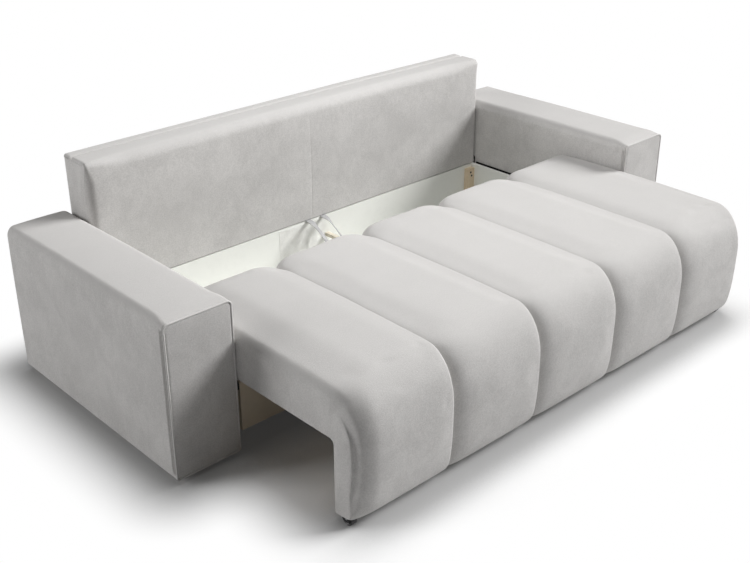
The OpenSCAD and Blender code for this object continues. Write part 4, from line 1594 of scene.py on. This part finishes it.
    def build(self) -> list[bpy.types.Object]:
        """Makes the cover and its piping and dresses the frame inside.

        Returns:
            The two new pieces.
        """
        word = self.side.word
        sleeve = self.sleeve()
        front = self.panel(sleeve[0], self.front + self.front_edge, self.front_full)
        rear = self.panel(sleeve[-1], self.front + self.depth, 0.0)
        cover = Patches().add(sleeve, front, rear, wrap=True).build(f"arm_cover_{word}_soft")
        settle(cover, VELOUR, "base", f"arm_cover_{word}")
        path = self.outline(self.piping_in)
        path = self.place(np.concatenate([path, path[:1]]), self.front + self.piping_back)
        piping = Patches().add(self.tube(path, self.piping), wrap=True).build(f"arm_piping_{word}_soft")
        settle(piping, VELOUR_PIPING, "base", f"arm_piping_{word}", finer=False)
        PINE_DEEP.dress(f"arm_frame_{word}")
        BLACK_STEEL.dress(f"hinge_bracket_{word}", f"runner_rail_{word}")
        return [cover, piping]


@dataclass
class RearPanel:
    """Padded panel over the lower rear frame."""

    half: float = 0.980
    rear: float = 0.7565
    thick: float = 0.016
    low: float = 0.018
    high: float = 0.271
    edge: float = 0.009
    full: float = 0.004
    full_reach: float = 0.09
    inset: float = 0.002
    across_steps: Sequence[float] = (0, 1, 3, 6, 10, 16, 26, 42)
    up_steps: Sequence[float] = (0, 1, 3, 6, 10, 16, 25)

    def build(self) -> list[bpy.types.Object]:
        """Makes the panel.

        Returns:
            The new piece.
        """
        across = np.append(millimetres(*self.across_steps), np.linspace(0.06, self.half, 60))
        up = np.append(millimetres(*self.up_steps), np.linspace(0.036, (self.high - self.low) / 2, 8))
        x = mirrored(across, -self.half, self.half)
        z = mirrored(up, self.low, self.high)[:, None]
        from_x, from_z = np.minimum(x + self.half, self.half - x), np.minimum(z - self.low, self.high - z)
        fall = np.maximum(*(quarter(away, self.edge, self.edge) for away in (from_x, from_z)))
        reach = self.full_reach
        fill = (np.clip(from_x / reach, 0, 1) * np.clip(from_z / reach, 0, 1)) ** 0.6
        face = stacked(x, self.rear - self.inset - fall + self.full * fill, z)
        back = face[:: len(z) - 1, :: len(x) - 1].copy()
        rim = np.concatenate([face[0], face[1:, -1], face[-1, -2::-1], face[-2:0:-1, 0]])
        base = rim.copy()
        for flat in (back, base):
            flat[..., 1] = self.rear - self.thick
        patches = Patches().add(face).add(np.stack([rim, base]), wrap=True).add(back)
        panel = patches.build("rear_cover_soft")
        settle(panel, VELOUR, "base", "rear_cover", finer=False)
        return [panel]


@dataclass
class Straps:
    """Webbing loop over the rear rim and the cloth liner behind it."""

    middle: float = 0.017
    pitch: float = 0.077
    width: float = 0.028
    thick: float = 0.002
    edge_round: float = 0.003
    twists: Pair = (24, 42)
    wall: float = 0.6055
    rim: float = 0.271
    route: Sequence[Pair] = (
        (46, 1.1), (20, 1.1), (4, 1.1), (-12, -0.6), (-30, -5), (-54, -16), (-84, -34), (-114, -56),
        (-142, -80), (-164, -104), (-180, -126), (-194, -144), (-216, -155), (-246, -157), (-290, -157),
    )
    board: float = 0.6085
    floor: float = 0.109
    floor_gap: float = 0.002
    liner_width: float = 0.236
    liner_right: float = 0.046
    liner_low: float = 0.004
    liner_thick: float = 0.0004
    liner_rows: int = 44
    liner_columns: int = 90

    def build(self) -> list[bpy.types.Object]:
        """Makes the loop and the liner."""
        return [self.loop(), self.liner()]

    def curve(self) -> np.ndarray:
        """The route in fine steps.

        Returns:
            Points as rows of Y and Z.
        """
        marks = np.array([self.wall, self.rim]) + millimetres(*self.route)
        way = np.append(0, np.cumsum(np.linalg.norm(np.diff(marks, axis=0), axis=1)))
        at = np.linspace(0, way[-1], 90)
        line = stacked(*(np.interp(at, way, values) for values in marks.T))
        for _ in range(6):
            line[1:-1] = (line[:-2] + 2 * line[1:-1] + line[2:]) / 4
        return line

    def ribbon(self, middle: float, line: np.ndarray, turn: np.ndarray) -> np.ndarray:
        """A flat band with rounded long edges that may twist about its own length.

        Args:
            middle: X of its middle line.
            line: Its middle line as rows of Y and Z.
            turn: How far the band is turned about that line at each point, in radians.

        Returns:
            The band's grid.
        """
        ahead = np.gradient(line, axis=0)
        ahead_y, ahead_z = (ahead / np.linalg.norm(ahead, axis=1, keepdims=True)).T[..., None]
        half, edge = self.thick / 2, self.width / 2
        upper = [(edge, 0), (edge - 0.0008, 0.8), (edge - self.edge_round, 1), (0, 1)]
        upper = [(-a, b) for a, b in upper] + upper[2::-1]
        across, out = np.array(upper + [(a, -b) for a, b in upper[-2:0:-1]]).T
        turn = turn[:, None]
        off = out * half * np.cos(turn) + across * np.sin(turn)
        x = middle + across * np.cos(turn) - out * half * np.sin(turn)
        return stacked(x, line[:, :1] + ahead_z * off, line[:, 1:] - ahead_y * off)

    def loop(self) -> bpy.types.Object:
        """The webbing loop: two legs and a crosspiece on the box floor.

        Returns:
            The new piece.
        """
        line = self.curve()
        patches = Patches()
        t = np.linspace(0, 1, len(line))
        for side, twist in zip((-1, 1), self.twists):
            turn = -math.radians(twist) * fade(t, 0.13, 0.28) * (1 - fade(t, 0.62, 0.78))
            patches.add(self.ribbon(self.middle + side * self.pitch / 2, line, turn), wrap=True)
        reach, half = (self.pitch + self.width) / 2, self.thick / 2
        x = np.linspace(self.middle - reach, self.middle + reach, 24)[:, None]
        y, z = line[-1][:, None] + np.array([[0, 0, -self.width, -self.width], [-half, half, half, -half]])
        patches.add(stacked(x, y, z), wrap=True)
        loop = patches.build("strap_loop_soft")
        settle(loop, STRAP, "base", "strap_loop", finer=False)
        return loop

    def liner(self) -> bpy.types.Object:
        """White cloth that hangs in soft fan folds from the rear rim.

        Returns:
            The new piece.
        """
        ends = np.array([0, 0.001, 0.004])
        u = np.concatenate([ends, np.linspace(0.012, 0.988, self.liner_columns), 1 - ends[::-1]])
        v = np.linspace(0, 1, self.liner_rows)[:, None]
        lean = 0.30 * v
        folds = ((0.58 - lean, 0.07), (0.62, 0.035), (0.90 - 0.6 * lean, 0.06))
        deep = 2 + 3 * sum(hump(u, middle, wide) for middle, wide in folds)
        ripple = 0.5 * np.sin(26 * u + 5 * v + 1.2 * np.sin(7 * u))
        deep = deep + ripple * np.clip(u * 6, 0, 1) * np.clip((1 - u) * 6, 0, 1)
        out = (0.05 + (1.6 + v * deep) * fade(np.minimum(u, 1 - u), 0.0, 0.20)) / 1000
        x = self.middle + self.liner_right - self.liner_width * (1 - u)
        z = mix(self.rim - self.liner_low, self.floor + self.floor_gap, v)
        grid = stacked(x, self.board - self.liner_thick - out, z)
        cloth = Patches().add(grid).build("box_liner_soft")
        lengths = (np.linalg.norm(np.diff(grid, axis=way), axis=-1).sum(axis=way) for way in (1, 0))
        flat = tuple(float(length.mean()) for length in lengths)
        thick = cloth.modifiers.new("thick", "SOLIDIFY")
        thick.thickness = self.liner_thick
        thick.offset = 0
        settle(cloth, LINING, "base", "box_liner", finer=False)
        return cloth


@dataclass
class Carcass:
    """Box, rear frame, seat timber, hinges and rollers, which keep the shape of their solids."""

    solids: Sequence[tuple[Finish, Sequence[str]]] = (
        (BOARD, ("box_rear_board", "box_side_board_left", "box_side_board_right", "box_bottom_panel")),
        (BOARD_FRONT, ("box_front_board",)),
        (PINE, ("box_cleats", "rear_frame", "seat_frame", "apron_board", "arm_spacers")),
        (BEECH, ("box_corner_blocks",)),
        (BATTEN, ("strap_block",)),
        (BEECH_SLAT, ("seat_slats",)),
        (BLACK_STEEL, ("box_screws", "front_forks", "rear_roller_brackets")),
        (ZINC, ("arm_bolts", "arm_nuts", "hinge_pins", "front_axles", "rear_axles")),
        (NYLON, ("arm_glides", "box_legs")),
        (NYLON, tuple(f"{end}_roller_{side.word}" for end in ("front", "rear") for side in Side)),
        (RUBBER, ("rest_pads",)),
        (DUST_CLOTH, ("seat_underlining",)),
    )

    def build(self) -> int:
        """Dresses the solids that show or stay inside and counts them."""
        return sum(finish.dress(*names) for finish, names in self.solids)


# Stage


@dataclass(frozen=True)
class Lamp:
    """A square soft lamp that looks at the sofa."""

    name: str
    place: Place
    size: float
    power: float
    aim: Place = (0.0, 0.0, 0.3)

    def build(self) -> None:
        """Hangs the lamp in the scene."""
        data = bpy.data.lights.new(self.name, "AREA")
        data.shape = "SQUARE"
        data.size = self.size
        data.energy = self.power
        lamp = placed(bpy.data.objects.new(self.name, data))
        lamp.location = self.place
        way = Vector(self.aim) - Vector(self.place)
        lamp.rotation_euler = way.to_track_quat("-Z", "Y").to_euler()


@dataclass
class Studio:
    """Pale floor, soft light and the camera at the photograph's angle."""

    lamps: Sequence[Lamp] = (
        Lamp("key_lamp", (13.1, -6.2, 9.25), size=7.0, power=3500.0),
        Lamp("side_lamp", (-6.5, 3.6, 2.8), size=3.0, power=222.0),
        Lamp("top_lamp", (-0.4, -0.2, 3.6), size=2.4, power=18.0),
        Lamp("middle_lamp", (0.2, -0.2, 2.2), size=0.8, power=10.5),
    )
    ambient: float = 0.015
    floor_half: float = 12.0
    floor_bounce: float = 0.7
    floor_reach: float = 0.28
    # Painted light: this share of white glow is mixed into the whole floor, which lightens its shadows.
    floor_glow: float = 0.025
    # Painted shade: within this reach an occlusion node darkens the floor's colour, down to the share below
    # where it is most hidden.
    contact_reach: float = 0.22
    contact: float = 0.5
    footprints: Sequence[tuple[Place, Place]] = (
        ((0.0, 0.275, 0.0), (1.225, 0.475, 1.0)),
        ((0.0, 0.0, 0.0), (0.978, 0.7565, 1.0)),
    )
    turn: Place = (42.882, -26.326, -0.169)
    stand: Place = (-2.6486, -2.6188, 2.0477)
    lens: float = 53.13

    def world(self) -> None:
        """White behind the object, and a soft even light on it."""
        world = bpy.data.worlds.new("studio")
        bpy.context.scene.world = world
        writer = NodeWriter.blank(world)
        path = writer.add("ShaderNodeLightPath").outputs
        camera, glossy, through = (
            Signal(writer, path[f"Is {ray} Ray"]) for ray in ("Camera", "Glossy", "Transmission")
        )
        seen = writer.math("MAXIMUM", writer.math("MAXIMUM", camera, glossy), through)
        soft, white = (
            writer.take("ShaderNodeBackground", {"Color": WHITE, "Strength": strength})
            for strength in (self.ambient, 1.0)
        )
        mixed = writer.take("ShaderNodeMixShader", {0: seen, 1: soft, 2: white})
        writer.add("ShaderNodeOutputWorld", {"Surface": mixed})

    def floor(self) -> None:
        """A pale floor that turns white away from the object, with painted shade near what stands on it and
        a faint painted glow over it all.
        """
        half = self.floor_half
        mesh = bpy.data.meshes.new("studio_floor")
        corners = [(-half, -half, 0), (half, -half, 0), (half, half, 0), (-half, half, 0)]
        mesh.from_pydata(corners, [], [(0, 1, 2, 3)])
        floor = placed(bpy.data.objects.new("studio_floor", mesh))
        material = bpy.data.materials.new("studio_floor")
        writer = NodeWriter.blank(material)
        place = writer.take("ShaderNodeTexCoord", output="Object")
        white = None
        for middle, size in self.footprints:
            apart = writer.vector("ABSOLUTE", writer.vector("SUBTRACT", place, middle))
            apart = writer.vector("MAXIMUM", writer.vector("SUBTRACT", apart, size), (0, 0, 0))
            share = writer.vector("LENGTH", apart, output="Value").spread(0.0, self.floor_reach)
            white = share if white is None else white * share
        # Painted shade: the occlusion node darkens the floor's own colour near the object, on top of the
        # lamps' real shadows.
        shade = writer.take("ShaderNodeAmbientOcclusion", {"Distance": self.contact_reach}, "AO")
        shade = shade.spread(0.5, 1.0, self.contact, 1.0)
        near = writer.take("ShaderNodeBsdfDiffuse", {"Color": writer.scaled(WHITE, shade)})
        # The white glow covers the floor away from the object, and a small share of it lightens the floor's
        # shadows near it as painted light.
        glow = writer.take("ShaderNodeEmission", {"Color": WHITE, "Strength": 1.0})
        far = writer.math("MAXIMUM", white, self.floor_glow)
        shown = writer.take("ShaderNodeMixShader", {0: far, 1: near, 2: glow})
        dim = writer.take("ShaderNodeBsdfDiffuse", {"Color": (self.floor_bounce,) * 3})
        seen = writer.take("ShaderNodeLightPath", output="Is Camera Ray")
        mixed = writer.take("ShaderNodeMixShader", {0: seen, 1: dim, 2: shown})
        writer.add("ShaderNodeOutputMaterial", {"Surface": mixed})
        mesh.materials.append(material)

    def camera(self) -> None:
        """The camera at the photograph's viewing angle."""
        yaw, pitch, roll = (math.radians(a) for a in self.turn)
        level = Vector((math.sin(yaw), math.cos(yaw), 0)) * math.cos(pitch)
        ahead = level + Vector((0, 0, math.sin(pitch)))
        right = Vector((math.cos(yaw), -math.sin(yaw), 0))
        up = right.cross(ahead)
        turned = math.cos(roll) * right + math.sin(roll) * up
        raised = -math.sin(roll) * right + math.cos(roll) * up
        data = bpy.data.cameras.new("camera")
        data.sensor_fit = "HORIZONTAL"
        data.sensor_width = 36.0
        data.lens = self.lens
        camera = placed(bpy.data.objects.new("camera", data))
        matrix = Matrix((turned, raised, -ahead)).transposed().to_4x4()
        matrix.translation = Vector(self.stand)
        camera.matrix_world = matrix
        bpy.context.scene.camera = camera

    def build(self) -> None:
        """Sets up the whole stage."""
        self.world()
        self.floor()
        for lamp in self.lamps:
            lamp.build()
        self.camera()
        bpy.context.scene.view_settings.view_transform = "Standard"


def main() -> None:
    """Builds the studio and every piece, and reports each."""
    logging.basicConfig(level=logging.INFO, format="%(message)s")
    Studio().build()
    LOG.info("studio ready")
    LOG.info("%d solids dressed", Carcass().build())
    for part in (SeatCushion(), Backrest(), Arm(Side.LEFT), Arm(Side.RIGHT), RearPanel(), Straps()):
        for piece in part.build():
            LOG.info("%s: %d points", piece.name, len(piece.data.vertices))


if __name__ == "__main__":
    main()
